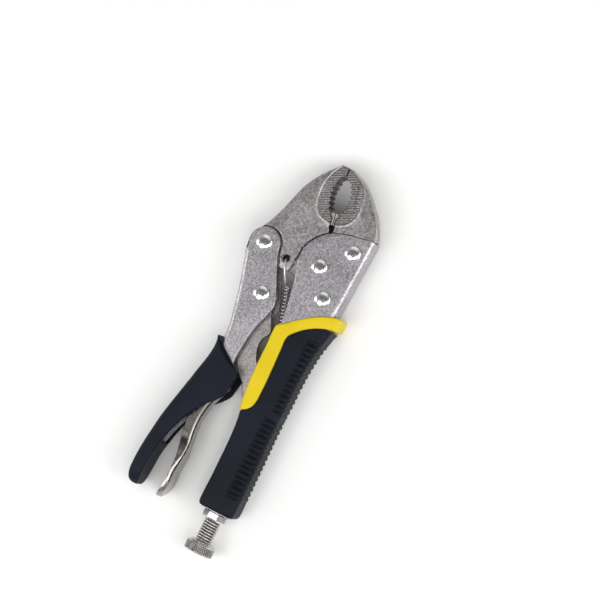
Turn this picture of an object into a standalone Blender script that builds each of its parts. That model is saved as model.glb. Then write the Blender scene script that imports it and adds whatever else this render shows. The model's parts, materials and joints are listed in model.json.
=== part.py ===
"""Locking pliers, 175 mm class, lying flat and clamped shut.

The tool is laid out in millimetres about the jaw pivot: +X runs along the
adjusting screw towards the jaws, +Y towards the moving handle and +Z is the
width of the tool. The empty tool_frame carries that layout to the part's
frame, whose origin is the middle of the underside of the whole tool.
"""

from math import atan2, cos, pi, radians, sin

import bpy
import bmesh
from mathutils import Vector

MM = 0.001

# Pivots of the linkage, in the layout
JAW_PIVOT = (0.0, 0.0)
HANDLE_PIVOT = (-0.85, 27.6)
LINK_PIVOT = (-22.0, 18.4)
LINK_END = (-84.0, -6.85)
LEVER_PIVOT = (-63.0, 20.5)
FRONT_RIVET = (11.8, -10.9)
REAR_RIVET = (-12.3, -7.8)
SPRING_HOLE = (-2.8, 15.9)
SPRING_HOLE_R = 2.25
SCREW_AXIS_Y = LINK_END[1]

# The part's frame: where the jaw pivot lies in it
FRAME_X = 46.45
FRAME_Y = -8.32
FRAME_Z = 9.1

# Widths across the tool, each measured from its middle plane
PLATE_OUT = 6.8
PLATE_IN = 5.0
SHEET = PLATE_OUT - PLATE_IN
JAW_HALF = 5.8
TANG_HALF = 4.7
LINK_HALF = 2.0
LINK_BOSS_R = 4.6
LEVER_OUT = 4.6
LEVER_IN = 3.4
PADDLE_OUT = 8.0
PADDLE_IN = 4.9
LEVER_WEB = 1.5
LEVER_WEB_END_X = -66.5
LUG_HALF = 0.8
BEYOND = 12.0
GRIP_OUT = 8.7
RIB_OUT = 9.1
TRIM_OUT = 9.0
COIN_DEPTH = 0.35
GAP = 0.3
FIT = 0.1

# Rivets
RIVET_HEAD_R = 3.9
RIVET_HEAD_HEIGHT = 1.7
RIVET_SHANK_R = 2.6
RIVET_FLAT_R = 0.7
LINK_RIVET_SHANK_R = 2.3

# Screw, bush and knob, along the screw axis
SCREW_TIP_X = -89.2
SCREW_MAJOR_R = 3.9
SCREW_MINOR_R = 3.2
THREAD_PITCH = 1.25
THREAD_START_X = -117.0
THREAD_TURNS = 12
BUSH_FRONT_X = -118.7
BUSH_REAR_X = -122.4
BUSH_R = 6.0
BUSH_SPIGOT_R = 4.6
BUSH_SPIGOT_LENGTH = 7.0
KNOB_FRONT_X = -132.8
KNOB_REAR_X = -138.6
KNOB_R = 6.85
KNOB_GROOVES = 24

# Teeth
TOOTH_PITCH = 2.3
TOOTH_DEPTH = 1.05

# Spring
WIRE_R = 0.35
COIL_R = 1.45
COIL_START = (-15.0, 9.6)
COIL_END = (-40.0, 1.4)
COIL_TURNS = 17
COIL_Z = 2.6

# Ribs of the fixed grip
RIB_PITCH = 2.6
RIB_WIDTH = 1.3
FIRST_RIB_X = -31.5
RIB_COUNT = 30
RIB_STEP_X = -68.5
RIB_LOW_Y = -13.4
RIB_SUNK = 0.8


# ---------------------------------------------------------------- helpers

def remove_everything():
    for old in list(bpy.data.objects):
        bpy.data.objects.remove(old, do_unlink=True)


def material(name, colour, roughness, metallic):
    made = bpy.data.materials.new(name)
    made.use_nodes = True
    shader = made.node_tree.nodes["Principled BSDF"]
    shader.inputs["Base Color"].default_value = (*colour, 1.0)
    shader.inputs["Roughness"].default_value = roughness
    shader.inputs["Metallic"].default_value = metallic
    made.diffuse_color = (*colour, 1.0)
    return made


def rounded(corners):
    """Outline from (x, y) or (x, y, radius) corners; a radius becomes an arc."""
    points = []
    count = len(corners)
    for i, corner in enumerate(corners):
        here = Vector(corner[:2])
        radius = corner[2] if len(corner) > 2 else 0.0
        if radius == 0.0:
            points.append(tuple(here))
            continue
        before = (Vector(corners[i - 1][:2]) - here).normalized()
        after = (Vector(corners[(i + 1) % count][:2]) - here).normalized()
        half = before.angle(after) / 2
        centre = here + (before + after).normalized() * (radius / sin(half))
        first = here + before * (radius * cos(half) / sin(half)) - centre
        last = here + after * (radius * cos(half) / sin(half)) - centre
        turn = first.angle_signed(last)
        steps = max(2, round(abs(turn) / radians(22)))
        start = atan2(first.y, first.x)
        for step in range(steps + 1):
            angle = start - turn * step / steps
            points.append((centre.x + radius * cos(angle), centre.y + radius * sin(angle)))
    return points


def arc(centre, radius, start, end, steps):
    """Points on a circle from angle start to angle end, in degrees."""
    angles = [radians(start + (end - start) * i / steps) for i in range(steps + 1)]
    return [(centre[0] + radius * cos(a), centre[1] + radius * sin(a)) for a in angles]


def circle(centre, radius, steps=24):
    return arc(centre, radius, 0, 360, steps)[:-1]


def teeth(first, last, bow, outward):
    """Saw teeth along a shallow arc that bows by bow to the outward side."""
    start = Vector(first)
    along = Vector(last) - start
    side = Vector((-along.y, along.x)).normalized() * outward
    count = round(along.length / TOOTH_PITCH)
    points = []
    for i in range(count):
        for part, height in ((0.0, 0.0), (0.55, TOOTH_DEPTH)):
            t = (i + part) / count
            points.append(tuple(start + along * t + side * (bow * 4 * t * (1 - t) + height)))
    points.append(tuple(last))
    return points


def new_object(name, mesh_data, shade=None):
    made = bpy.data.objects.new(name, mesh_data)
    bpy.context.scene.collection.objects.link(made)
    if shade is not None:
        made.data.materials.append(shade)
    return made


def prism(name, outline, low, high, shade=None, along_y=False):
    """Closed solid with the outline in XY, from z = low to z = high, in mm.

    With along_y the outline lies in XZ and the solid runs from y = low to y = high.
    """
    form = bmesh.new()
    first = Vector((0, low, 0)) if along_y else Vector((0, 0, low))
    path = Vector((0, high - low, 0)) if along_y else Vector((0, 0, high - low))
    corners = [Vector((u, 0, v)) if along_y else Vector((u, v, 0)) for u, v in outline]
    face = form.faces.new([form.verts.new((corner + first) * MM) for corner in corners])
    made = bmesh.ops.extrude_face_region(form, geom=[face])
    raised = [v for v in made["geom"] if isinstance(v, bmesh.types.BMVert)]
    bmesh.ops.translate(form, verts=raised, vec=path * MM)
    return new_object(name, finished(form, name), shade)


def close_rings(form, rings):
    """Joins rings of vertices into a closed tube with a face at each end."""
    for low, high in zip(rings, rings[1:]):
        for i in range(len(low)):
            j = (i + 1) % len(low)
            form.faces.new((low[i], low[j], high[j], high[i]))
    form.faces.new(reversed(rings[0]))
    form.faces.new(rings[-1])


def finished(form, name):
    bmesh.ops.recalc_face_normals(form, faces=form.faces)
    mesh_data = bpy.data.meshes.new(name)
    form.to_mesh(mesh_data)
    form.free()
    return mesh_data


def plate(name, outline, half_width, shade=None):
    return prism(name, outline, -half_width, half_width, shade)


def turned(name, profile, segments, shade=None):
    """Closed solid of revolution about Z from (radius, z) pairs in mm, bottom to top."""
    form = bmesh.new()
    rings = []
    for radius, z in profile:
        ring = []
        for i in range(segments):
            angle = 2 * pi * i / segments
            ring.append(form.verts.new((radius * cos(angle) * MM, radius * sin(angle) * MM, z * MM)))
        rings.append(ring)
    close_rings(form, rings)
    made = new_object(name, finished(form, name), shade)
    smooth(made)
    return made


def smooth(target, sharp_degrees=35):
    target.data.shade_smooth()
    target.data.set_sharp_from_angle(angle=radians(sharp_degrees))


def lay_along_x(target, x, y):
    """Turns a shape made about Z so that its +Z runs along -X, from (x, y)."""
    target.rotation_euler = (0, -pi / 2, 0)
    target.location = (x * MM, y * MM, 0)


def combine(target, tool, operation):
    """Boolean with a hidden tool that keeps its own place."""
    tool.hide_render = True
    tool.display_type = "WIRE"
    change = target.modifiers.new(tool.name, "BOOLEAN")
    change.operation = operation
    change.object = tool
    change.solver = "EXACT"
    tool.parent = target


def cut(target, tool):
    combine(target, tool, "DIFFERENCE")


def join(target, tool):
    combine(target, tool, "UNION")


def both_sides(target, name, outline, depth_z):
    """Removes whatever lies under the outline further out than depth_z, on both faces."""
    cut(target, prism(f"{name}_near", outline, depth_z, BEYOND))
    cut(target, prism(f"{name}_far", outline, -BEYOND, -depth_z))


def inset(outline, distance):
    """Outline moved inwards; arcs must be wider than the distance."""
    points = [Vector(point) for point in outline]
    area = sum(p.x * q.y - q.x * p.y for p, q in zip(points, points[1:] + points[:1]))
    side = 1 if area > 0 else -1
    moved = []
    for i, here in enumerate(points):
        one = (here - points[i - 1]).normalized()
        two = (points[(i + 1) % len(points)] - here).normalized()
        normal = Vector((-one.y - two.y, one.x + two.x)).normalized() * side
        stretch = max(0.5, normal.dot(Vector((-one.y, one.x)) * side))
        moved.append(tuple(here + normal * (distance / stretch)))
    return moved


def soft_plate(name, outline, half_width, radius, shade=None):
    """Plate whose outer edges are rounded, as on moulded rubber."""
    form = bmesh.new()
    angles = [radians(a) for a in (0, 30, 60, 90)]
    upper = [(radius * (1 - cos(a)), half_width - radius * (1 - sin(a))) for a in angles]
    lower = [(distance, -z) for distance, z in reversed(upper)]
    rings = []
    for distance, z in lower + upper:
        rings.append([form.verts.new((x * MM, y * MM, z * MM)) for x, y in inset(outline, distance)])
    close_rings(form, rings)
    return new_object(name, finished(form, name), shade)


# ---------------------------------------------------------------- fixed side

FIXED_BACK = [(-118.3, -13.6), (-50.0, -13.1), (-40.0, -13.6), (-28.0, -15.2), (-15.5, -16.7), (0.0, -17.4),
              (20.3, -18.2)]
FIXED_FRONT = [(19.8, -11.9), (18.4, -5.0), (16.4, 1.6), (14.1, 4.3), (10.5, 7.6), (7.3, 9.5), (4.5, 10.4)]
FIXED_TOP = [(0.0, 10.4), (-6.5, 8.6), (-15.0, 6.6), (-25.0, 4.8), (-31.0, 3.6), (-66.0, 2.6), (-73.0, -0.1),
             (-118.3, -0.2)]


def fixed_handle(shade):
    """Pressed channel: two plates and a back on the screw's side."""
    made = plate("fixed_handle", FIXED_BACK + FIXED_FRONT + FIXED_TOP, PLATE_OUT, shade)
    floor = [(x, y + SHEET) for x, y in FIXED_BACK]
    rear = [(-130.0, floor[0][1])]
    front = [(30.0, floor[-1][1]), (30.0, 30.0), (-130.0, 30.0)]
    cut(made, plate("fixed_handle_inside", rear + floor[1:-1] + front, PLATE_IN))
    holes = (JAW_PIVOT, FRONT_RIVET, REAR_RIVET)
    for number, centre in enumerate(holes):
        cut(made, plate(f"fixed_handle_hole_{number}", circle(centre, RIVET_SHANK_R + FIT), BEYOND))
    lug = rounded([(-46.5, -1.2, 1.0), (-41.5, -1.2, 1.0), (-41.5, -12.6), (-46.5, -12.6)])
    join(made, plate("spring_lug", lug, LUG_HALF))
    return made


def jaw_rivet(name, centre, half_width, shank_radius, shade):
    """Domed at both ends, across the tool."""
    dome = []
    for step in range(5):
        angle = radians(90 * step / 5)
        dome.append((RIVET_HEAD_R * cos(angle), RIVET_HEAD_HEIGHT * sin(angle)))
    seat = half_width + FIT
    upper = [(r, seat + z) for r, z in dome] + [(RIVET_FLAT_R, seat + RIVET_HEAD_HEIGHT)]
    lower = [(r, -z) for r, z in reversed(upper)]
    shank = [(shank_radius, -seat), (shank_radius, seat)]
    made = turned(name, lower + shank + upper, 24, shade)
    made.location = (centre[0] * MM, centre[1] * MM, 0)
    return made


def fixed_jaw(shade):
    """Forged jaw; its tang fills the channel around the two rivets."""
    nose = [(45.6, 7.7), (41.5, 7.4), (40.7, 6.6)]
    bite = teeth((40.2, 5.6), (24.3, 2.6), 2.1, 1)
    cutter = [(23.4, 3.3), (19.6, 3.3), (19.2, 2.1), (15.2, 1.9)]
    hub = arc(JAW_PIVOT, 9.0, 3, -152, 11)
    tang = [(-11.0, -2.6, 2.0), (-17.0, -3.0, 3.0), (-17.5, -14.0, 2.0), (-14.0, -14.6), (0.0, -15.3),
            (20.7, -16.1)]
    outer = [(20.9, -17.6), (23.2, -16.6), (27.3, -14.8), (31.4, -12.2), (35.0, -9.1), (39.1, -4.9),
             (42.0, -1.6), (44.3, 3.0), (45.7, 6.0)]
    made = plate("fixed_jaw", nose + bite + cutter + hub + rounded(tang) + outer, JAW_HALF, shade)
    under_plates = [(x + GAP, y - 0.1) for x, y in FIXED_FRONT]
    waist = [(20.55, -30.0)] + under_plates + [(0.0, 20.0), (-40.0, 20.0), (-40.0, -30.0)]
    both_sides(made, "fixed_jaw_step", waist, TANG_HALF)
    for number, centre in enumerate((FRONT_RIVET, REAR_RIVET)):
        cut(made, plate(f"fixed_jaw_hole_{number}", circle(centre, RIVET_SHANK_R + FIT), BEYOND))
    panel = rounded([(43.5, 5.0, 1.0), (40.0, -3.0, 2.0), (33.2, -4.0), (29.5, -4.5), (25.0, -3.8, 2.0),
                     (21.6, -1.2, 1.5), (20.6, 2.0, 0.5), (24.0, 1.0, 0.5), (31.0, 0.0), (40.5, 4.5),
                     (42.0, 6.0, 0.5)])
    both_sides(made, "fixed_jaw_panel", panel, JAW_HALF - COIN_DEPTH)
    return made


GRIP_BACK = [(-118.0, -15.5, 2.0), (-86.7, -15.1), (-62.0, -14.9), (-50.0, -14.9), (-40.0, -15.4),
             (-28.0, -17.4)]
SEAM = [(-22.8, -18.4, 1.8), (-25.8, -10.4), (-29.6, -5.2, 2.0), (-34.2, -1.3, 2.0), (-50.0, -1.9),
        (-60.0, -2.2), (-68.0, -1.6, 2.5), (-72.5, 3.1, 1.8)]
GRIP_TOP = [(-79.4, 2.0), (-89.0, 1.6), (-118.0, 1.5, 2.0)]
TRIM_FRONT = [(-19.6, -20.4, 1.0), (-16.9, -19.4, 1.0), (-17.6, -15.5), (-21.2, -7.6), (-25.6, -1.6),
              (-29.3, 2.2), (-31.5, 5.8, 1.0)]
TRIM_TOP = [(-50.0, 5.5), (-62.0, 5.0), (-72.1, 3.9, 0.8)]
LINK_SLIT_END = -83.5
GRIP_SOFT_R = 1.7
TRIM_SOFT_R = 0.7


def shifted(outline, dx, dy):
    return [(corner[0] + dx, corner[1] + dy, *corner[2:]) for corner in outline]


def fixed_grip(shade):
    """Moulded sleeve, open along the top for the link and closed behind it."""
    outline = rounded(GRIP_BACK + shifted(SEAM, -FIT, -FIT) + GRIP_TOP)
    made = soft_plate("fixed_grip", outline, GRIP_OUT, GRIP_SOFT_R, shade)
    places = [FIRST_RIB_X - RIB_PITCH * i for i in range(RIB_COUNT)]
    places = [x for x in places if abs(x - RIB_STEP_X) > 1.0]
    ribs = [(x, -10.5 if x > RIB_STEP_X else -8.6) for x in places]
    for side in (1, -1):
        join(made, rib_bars(f"grip_ribs_{'near' if side > 0 else 'far'}", ribs, side))
    pocket = [(-125.0, -13.6 - FIT)] + shifted(FIXED_BACK[1:], 0, -FIT)
    pocket += [(30.0, 12.0), (-30.0, 12.0), (-31.0, 3.7), (-66.0, 2.7), (-73.0, 0.0), (-125.0, -0.1)]
    cut(made, plate("fixed_grip_pocket", pocket, PLATE_OUT + FIT))
    mouth = [(-20.0, -4.0), (-20.0, 20.0), (-71.6, 20.0), (-71.6, -4.0)]
    cut(made, plate("fixed_grip_mouth", mouth, PLATE_IN))
    slit = [(-60.0, -4.0), (-60.0, 20.0), (LINK_SLIT_END, 20.0), (LINK_SLIT_END, -4.0)]
    cut(made, plate("fixed_grip_slit", slit, LINK_HALF + 0.5))
    return made


def rib_bars(name, ribs, side):
    """Row of separate bars across one side of the sleeve."""
    form = bmesh.new()
    for x, y_high in ribs:
        base = GRIP_OUT - RIB_SUNK
        size = Vector((RIB_WIDTH, y_high - RIB_LOW_Y, RIB_OUT - base)) * MM
        middle = Vector((x, (y_high + RIB_LOW_Y) / 2, side * (RIB_OUT + base) / 2)) * MM
        made = bmesh.ops.create_cube(form, size=1.0)["verts"]
        bmesh.ops.scale(form, verts=made, vec=size)
        bmesh.ops.translate(form, verts=made, vec=middle)
    return new_object(name, finished(form, name))


def fixed_grip_trim(shade):
    """Coloured band round the front of the sleeve, with a leg along its open side."""
    seam = list(reversed(shifted(SEAM[1:-1], FIT, FIT))) + [(-23.6, -15.5)]
    outline = rounded(TRIM_FRONT + TRIM_TOP + seam + [(-22.8, -20.0, 1.0)])
    made = soft_plate("fixed_grip_trim", outline, TRIM_OUT, TRIM_SOFT_R, shade)
    pocket = shifted(FIXED_BACK[1:], 0, -FIT) + FIXED_FRONT
    pocket += [(4.0, 14.0), (-31.6, 14.0), (-31.6, 3.7), (-66.0, 2.7), (-80.0, 0.0)]
    cut(made, plate("trim_pocket", pocket, PLATE_OUT + FIT))
    mouth = [(-20.0, -9.0), (-20.0, 20.0), (-80.0, 20.0), (-80.0, -9.0)]
    cut(made, plate("trim_mouth", mouth, PLATE_IN))
    return made


def bush(shade):
    """Threaded nut that closes the rear of the channel."""
    rear = BUSH_FRONT_X - BUSH_REAR_X
    spigot = [(BUSH_SPIGOT_R, -BUSH_SPIGOT_LENGTH), (BUSH_SPIGOT_R, 0.0)]
    profile = spigot + [(BUSH_R, 0.0), (BUSH_R, rear - 0.6), (BUSH_R - 0.6, rear)]
    made = turned("screw_bush", profile, 24, shade)
    lay_along_x(made, BUSH_FRONT_X, SCREW_AXIS_Y)
    bore = turned("bush_bore", [(SCREW_MAJOR_R + FIT, -9.0), (SCREW_MAJOR_R + FIT, 9.0)], 24)
    cut(made, bore)
    return made


# ---------------------------------------------------------------- adjuster

def adjusting_screw(shade):
    """Shank whose radius rises and falls along a helix on the threaded length."""
    sides = 14
    samples = 5
    rows = [(SCREW_TIP_X, False)]
    for k in range(samples * THREAD_TURNS + 1):
        inner = 0 < k < samples * THREAD_TURNS
        rows.append((THREAD_START_X - THREAD_PITCH * k / samples, inner))
    rows.append((KNOB_FRONT_X + GAP, False))
    middle_r = (SCREW_MAJOR_R + SCREW_MINOR_R) / 2
    swing_r = (SCREW_MAJOR_R - SCREW_MINOR_R) / 2
    form = bmesh.new()
    rings = []
    for x, threaded in rows:
        ring = []
        for i in range(sides):
            turn = i / sides
            wave = cos(2 * pi * (x / THREAD_PITCH - turn))
            radius = middle_r + swing_r * (wave if threaded else -1.0)
            y, z = radius * cos(2 * pi * turn), radius * sin(2 * pi * turn)
            ring.append(form.verts.new((x * MM, y * MM, z * MM)))
        rings.append(ring)
    close_rings(form, rings)
    made = new_object("adjusting_screw", finished(form, "adjusting_screw"), shade)
    made.location = (0, SCREW_AXIS_Y * MM, 0)
    smooth(made)
    return made


def knurled_knob(shade):
    length = KNOB_FRONT_X - KNOB_REAR_X
    form = bmesh.new()
    stations = ((0.0, 4.6, 0.0), (1.6, KNOB_R, 0.3), (length - 0.7, KNOB_R, 0.3), (length, KNOB_R - 0.7, 0.0))
    rings = []
    for z, radius, groove in stations:
        ring = []
        for i in range(KNOB_GROOVES * 2):
            angle = pi * i / KNOB_GROOVES
            r = radius - groove * (i % 2)
            ring.append(form.verts.new((r * cos(angle) * MM, r * sin(angle) * MM, z * MM)))
        rings.append(ring)
    close_rings(form, rings)
    made = new_object("knurled_knob", finished(form, "knurled_knob"), shade)
    lay_along_x(made, KNOB_FRONT_X, SCREW_AXIS_Y)
    return made


# ---------------------------------------------------------------- moving jaw

HANDLE_BACK = [(-3.0, 34.9), (-8.0, 33.8), (-18.0, 30.6), (-27.0, 28.4), (-35.0, 26.6), (-46.0, 25.2),
               (-54.0, 25.0), (-70.0, 28.6), (-86.0, 32.2), (-100.0, 34.3), (-112.0, 35.3), (-119.0, 35.2)]
HANDLE_EDGE = [(-119.0, 32.6), (-104.0, 31.6), (-100.0, 30.4), (-90.0, 27.4), (-80.0, 22.6), (-74.0, 18.4),
               (-66.0, 15.4), (-60.0, 14.4), (-53.5, 16.0), (-46.5, 15.5), (-40.0, 14.8), (-34.0, 13.4),
               (-28.0, 11.2), (-24.5, 10.6), (-22.5, 11.0), (-17.0, 13.4), (-8.5, 17.5), (-1.0, 20.6)]
HANDLE_NOSE_R = 7.1


def movable_jaw(shade):
    """Forged jaw: teeth, hub on the jaw pivot and ear on the handle pivot."""
    nose = [(45.7, 12.0), (45.7, 8.2), (41.6, 7.9), (40.8, 8.6)]
    bite = teeth((40.4, 9.2), (23.0, 7.4), 1.6, -1)
    cutter = [(23.4, 5.6), (22.8, 4.2), (19.6, 3.8), (19.2, 4.9), (15.4, 3.4)]
    hub = arc(JAW_PIVOT, 8.5, 8, -180, 12)
    rear = [(-7.4, 8.5), (-7.4, 18.5), (-8.2, 24.0)]
    ear = arc(HANDLE_PIVOT, 7.1, 195, 75, 8)
    outer = [(4.5, 32.9), (6.8, 31.0), (10.5, 29.2), (15.9, 27.4), (21.4, 25.7), (25.5, 24.5),
             (29.5, 23.2), (33.4, 21.0), (37.5, 18.5), (40.9, 15.7), (44.6, 12.4)]
    outline = nose + bite + cutter + hub + rear + ear + outer
    made = plate("movable_jaw", outline, JAW_HALF, shade)
    front = [(x + 0.5, y + 0.5) for x, y in reversed(FIXED_FRONT[:6])]
    swept = [(-20.0, 13.8), (-7.4, 12.2)]
    hub_step = swept + arc(JAW_PIVOT, 11.6, 98, 62, 4) + front + [(20.3, -20.0), (-20.0, -20.0)]
    ear_step = [(-30.0, 40.0), (-30.0, 8.0), (-9.0, 16.4), (0.0, 19.6)] + arc(HANDLE_PIVOT, 7.9, -75, 90, 8)
    both_sides(made, "hub_step", hub_step, TANG_HALF)
    both_sides(made, "ear_step", ear_step, TANG_HALF)
    cut(made, plate("movable_jaw_hub_hole", circle(JAW_PIVOT, RIVET_SHANK_R + FIT), BEYOND))
    cut(made, plate("movable_jaw_ear_hole", circle(HANDLE_PIVOT, RIVET_SHANK_R + FIT), BEYOND))
    cut(made, plate("movable_jaw_spring_hole", circle(SPRING_HOLE, SPRING_HOLE_R, 16), BEYOND))
    panel = rounded([(43.5, 11.4, 1.0), (38.6, 14.6), (31.8, 15.5), (27.3, 14.8, 3.0), (23.2, 12.9, 3.0),
                     (20.6, 10.0, 1.0), (20.0, 5.9, 0.5), (22.6, 6.8), (25.0, 9.8), (31.0, 11.8),
                     (36.0, 11.6), (41.0, 9.8)])
    both_sides(made, "movable_jaw_panel", panel, JAW_HALF - COIN_DEPTH)
    return made


def jaw_spring(shade):
    """Hook in the jaw, straight lead, close coil and a tail on the channel's lug."""
    path = []
    axis = Vector((COIL_END[0] - COIL_START[0], COIL_END[1] - COIL_START[1], 0))
    across = Vector((-axis.y, axis.x, 0)).normalized()
    per_turn = 9
    steps = COIL_TURNS * per_turn
    for i in range(steps + 1):
        angle = 2 * pi * i / per_turn
        centre = Vector((COIL_START[0], COIL_START[1], COIL_Z)) + axis * (i / steps)
        path.append(centre + across * (COIL_R * cos(angle)) + Vector((0, 0, COIL_R * sin(angle))))
    lead = [(-3.4, 15.4, 2.6), (-3.4, 15.4, 5.4), (-4.0, 15.6, 6.2), (-5.0, 15.9, JAW_HALF + 0.7),
            (-8.0, 14.8, JAW_HALF + 0.6), (-11.5, 13.0, 4.9), (-13.6, 12.0, 3.8)]
    tail = [(-41.4, 2.0, 2.0), (-42.6, 1.0, 0.8), (-44.0, -0.5, 0.5)]
    lead = [Vector(point) for point in lead]
    tail = [Vector(point) for point in tail]
    sweep = tube("jaw_spring", lead + path + tail, WIRE_R, 6, shade)
    smooth(sweep, 60)
    return sweep


def tube(name, path, radius, sides, shade):
    """Round wire along a path, its section carried along without twist."""
    form = bmesh.new()
    rings = []
    side = Vector((1, 0, 0))
    for i, point in enumerate(path):
        ahead = path[min(i + 1, len(path) - 1)] - path[max(i - 1, 0)]
        ahead.normalize()
        side = (side - ahead * side.dot(ahead)).normalized()
        up = ahead.cross(side)
        ring = []
        for k in range(sides):
            angle = 2 * pi * k / sides
            offset = side * (radius * cos(angle)) + up * (radius * sin(angle))
            ring.append(form.verts.new((point + offset) * MM))
        rings.append(ring)
    close_rings(form, rings)
    return new_object(name, finished(form, name), shade)


# ---------------------------------------------------------------- moving handle

def movable_handle(shade):
    """Pressed channel with its back away from the screw."""
    nose = arc(HANDLE_PIVOT, HANDLE_NOSE_R, -48, 100, 9)
    made = plate("movable_handle", HANDLE_EDGE + nose + HANDLE_BACK, PLATE_OUT, shade)
    roof = [(x, y - SHEET) for x, y in HANDLE_BACK[2:]]
    inside = [(20.0, 45.0), (-6.0, 45.0), (-9.5, 31.6)] + roof
    inside += [(-125.0, roof[-1][1]), (-125.0, 0.0), (20.0, 0.0)]
    cut(made, plate("movable_handle_inside", inside, PLATE_IN))
    for number, centre in enumerate((HANDLE_PIVOT, LINK_PIVOT, LEVER_PIVOT)):
        radius = RIVET_SHANK_R if number == 0 else LINK_RIVET_SHANK_R
        cut(made, plate(f"movable_handle_hole_{number}", circle(centre, radius + FIT), BEYOND))
    return made


MOVABLE_GRIP_OUTER = [(-123.8, 35.0, 2.0), (-118.6, 37.0, 3.0), (-112.0, 37.0), (-103.0, 36.4), (-94.0, 35.3),
                      (-86.0, 34.0), (-70.0, 30.4), (-54.0, 27.0), (-46.6, 28.2, 1.9)]
MOVABLE_GRIP_FRONT = [(-47.8, 24.7), (-50.0, 21.2), (-53.9, 16.3), (-58.6, 11.6, 1.8)]
MOVABLE_GRIP_INNER = [(-67.2, 12.2), (-70.6, 13.2, 3.0), (-75.0, 17.0, 2.0), (-77.8, 19.2), (-82.8, 22.6),
                      (-89.0, 25.6), (-95.0, 27.6), (-101.2, 28.9), (-106.0, 30.0), (-115.6, 30.8),
                      (-123.8, 31.0, 1.9)]
CLOSED_END_X = -101.4


def movable_grip(shade):
    """Dipped sleeve, open towards the lever and closed at the tail."""
    outline = rounded(MOVABLE_GRIP_OUTER + MOVABLE_GRIP_FRONT + MOVABLE_GRIP_INNER)
    made = soft_plate("movable_grip", outline, RIB_OUT, GRIP_SOFT_R, shade)
    back = shifted(HANDLE_BACK[:-1], 0, FIT)
    edge = shifted(HANDLE_EDGE[1:-1], 0, -FIT)
    pocket = back + [(-119.1, 35.3), (-119.1, 32.5)] + edge + [(0.0, 18.0)]
    cut(made, plate("movable_grip_pocket", pocket, PLATE_OUT + FIT))
    mouth = [(-40.0, 0.0), (-40.0, 22.0), (-52.0, 22.5), (-70.0, 25.0), (-88.0, 29.4), (CLOSED_END_X, 32.0),
             (CLOSED_END_X, 0.0)]
    cut(made, plate("movable_grip_mouth", mouth, PLATE_IN))
    return made


def toggle_link(shade):
    """Flat cranked link: boss on the link pivot, broad middle and a round nose at the screw."""
    nose = arc(LINK_END, 2.6, 105, 300, 9)
    lower = [(-70.0, -4.6), (-61.0, 0.2), (-53.5, 4.6), (-50.5, 7.4), (-46.0, 9.2, 2.0), (-42.5, 10.0, 3.0),
             (-38.5, 9.2, 2.0), (-36.2, 7.6, 1.0), (-34.0, 8.2), (-28.0, 11.2)]
    boss = arc(LINK_PIVOT, 6.6, -90, 130, 9)
    upper = [(-40.0, 20.0), (-53.5, 17.2), (-59.7, 11.4), (-62.0, 9.0), (-68.4, 5.2, 1.5), (-70.6, 1.5, 2.0),
             (-76.0, -0.6)]
    made = plate("toggle_link", nose + rounded(lower) + boss + rounded(upper), LINK_HALF, shade)
    join(made, plate("link_boss", circle(LINK_PIVOT, LINK_BOSS_R), TANG_HALF))
    cut(made, plate("link_hole", circle(LINK_PIVOT, LINK_RIVET_SHANK_R + FIT), BEYOND))
    return made


LEVER_HAND = [(-64.0, 12.4), (-70.0, 14.6), (-76.0, 16.9), (-81.0, 18.1), (-86.0, 18.5), (-91.7, 18.2), (-98.0, 17.4),
              (-103.0, 17.2), (-110.0, 17.9), (-117.0, 17.6), (-121.0, 18.3), (-124.0, 19.8)]


PADDLE_SIDE = [(-50.0, LEVER_OUT), (-96.0, LEVER_OUT), (-99.5, 5.6), (-103.0, 6.9), (-107.0, 7.8),
               (-111.0, PADDLE_OUT), (-118.0, PADDLE_OUT), (-120.5, 7.2), (-122.5, 5.6), (-124.5, 2.5),
               (-126.0, 1.0), (-126.0, 14.0), (-50.0, 14.0)]


def trim_side(target, name, side):
    """Cuts the plan shape of the lever's side: narrow between the plates, flared at the paddle."""
    outline = [(x, side * z) for x, z in PADDLE_SIDE]
    cut(target, prism(name, outline, 0.0, 40.0, along_y=True))


def release_lever(shade):
    """Folded lever: flanges on the lever pin, web along the hand side, wide flat paddle."""
    heel = [(-58.2, 17.0, 1.5), (-58.0, 23.0, 2.0), (-64.0, 25.0, 2.0)]
    flange = [(-76.0, 25.0), (-86.0, 24.6), (-92.0, 23.4), (-99.0, 21.8), (-104.5, 20.0), (-117.0, 20.0),
              (-123.6, 21.4, 0.5)]
    outline = rounded(heel + flange + LEVER_HAND[::-1])
    made = plate("release_lever", outline, PADDLE_OUT + 1.0, shade)
    trim_side(made, "lever_side_near", 1)
    trim_side(made, "lever_side_far", -1)
    web = [(x, y + LEVER_WEB) for x, y in LEVER_HAND]
    inside = [(-40.0, 12.0), (-40.0, 40.0), (-103.6, 40.0)] + list(reversed(web[1:8]))
    cut(made, plate("release_lever_inside", inside, LEVER_IN))
    wide = [(-98.5, 40.0), (-103.2, 40.0), (-103.2, 19.1), (-98.5, 19.3)]
    cut(made, plate("release_lever_inside_wide", wide, PADDLE_IN))
    front = [(-40.0, 0.0), (-40.0, 40.0), (LEVER_WEB_END_X, 40.0), (LEVER_WEB_END_X, 0.0)]
    cut(made, plate("release_lever_front", front, LEVER_IN))
    cut(made, plate("release_lever_hole", circle(LEVER_PIVOT, LINK_RIVET_SHANK_R + FIT, 16), BEYOND))
    return made


def lever_pin(shade):
    made = turned("lever_pin", [(LINK_RIVET_SHANK_R, -PLATE_OUT), (LINK_RIVET_SHANK_R, PLATE_OUT)], 20, shade)
    made.location = (LEVER_PIVOT[0] * MM, LEVER_PIVOT[1] * MM, 0)
    return made


# ---------------------------------------------------------------- assembly

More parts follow.
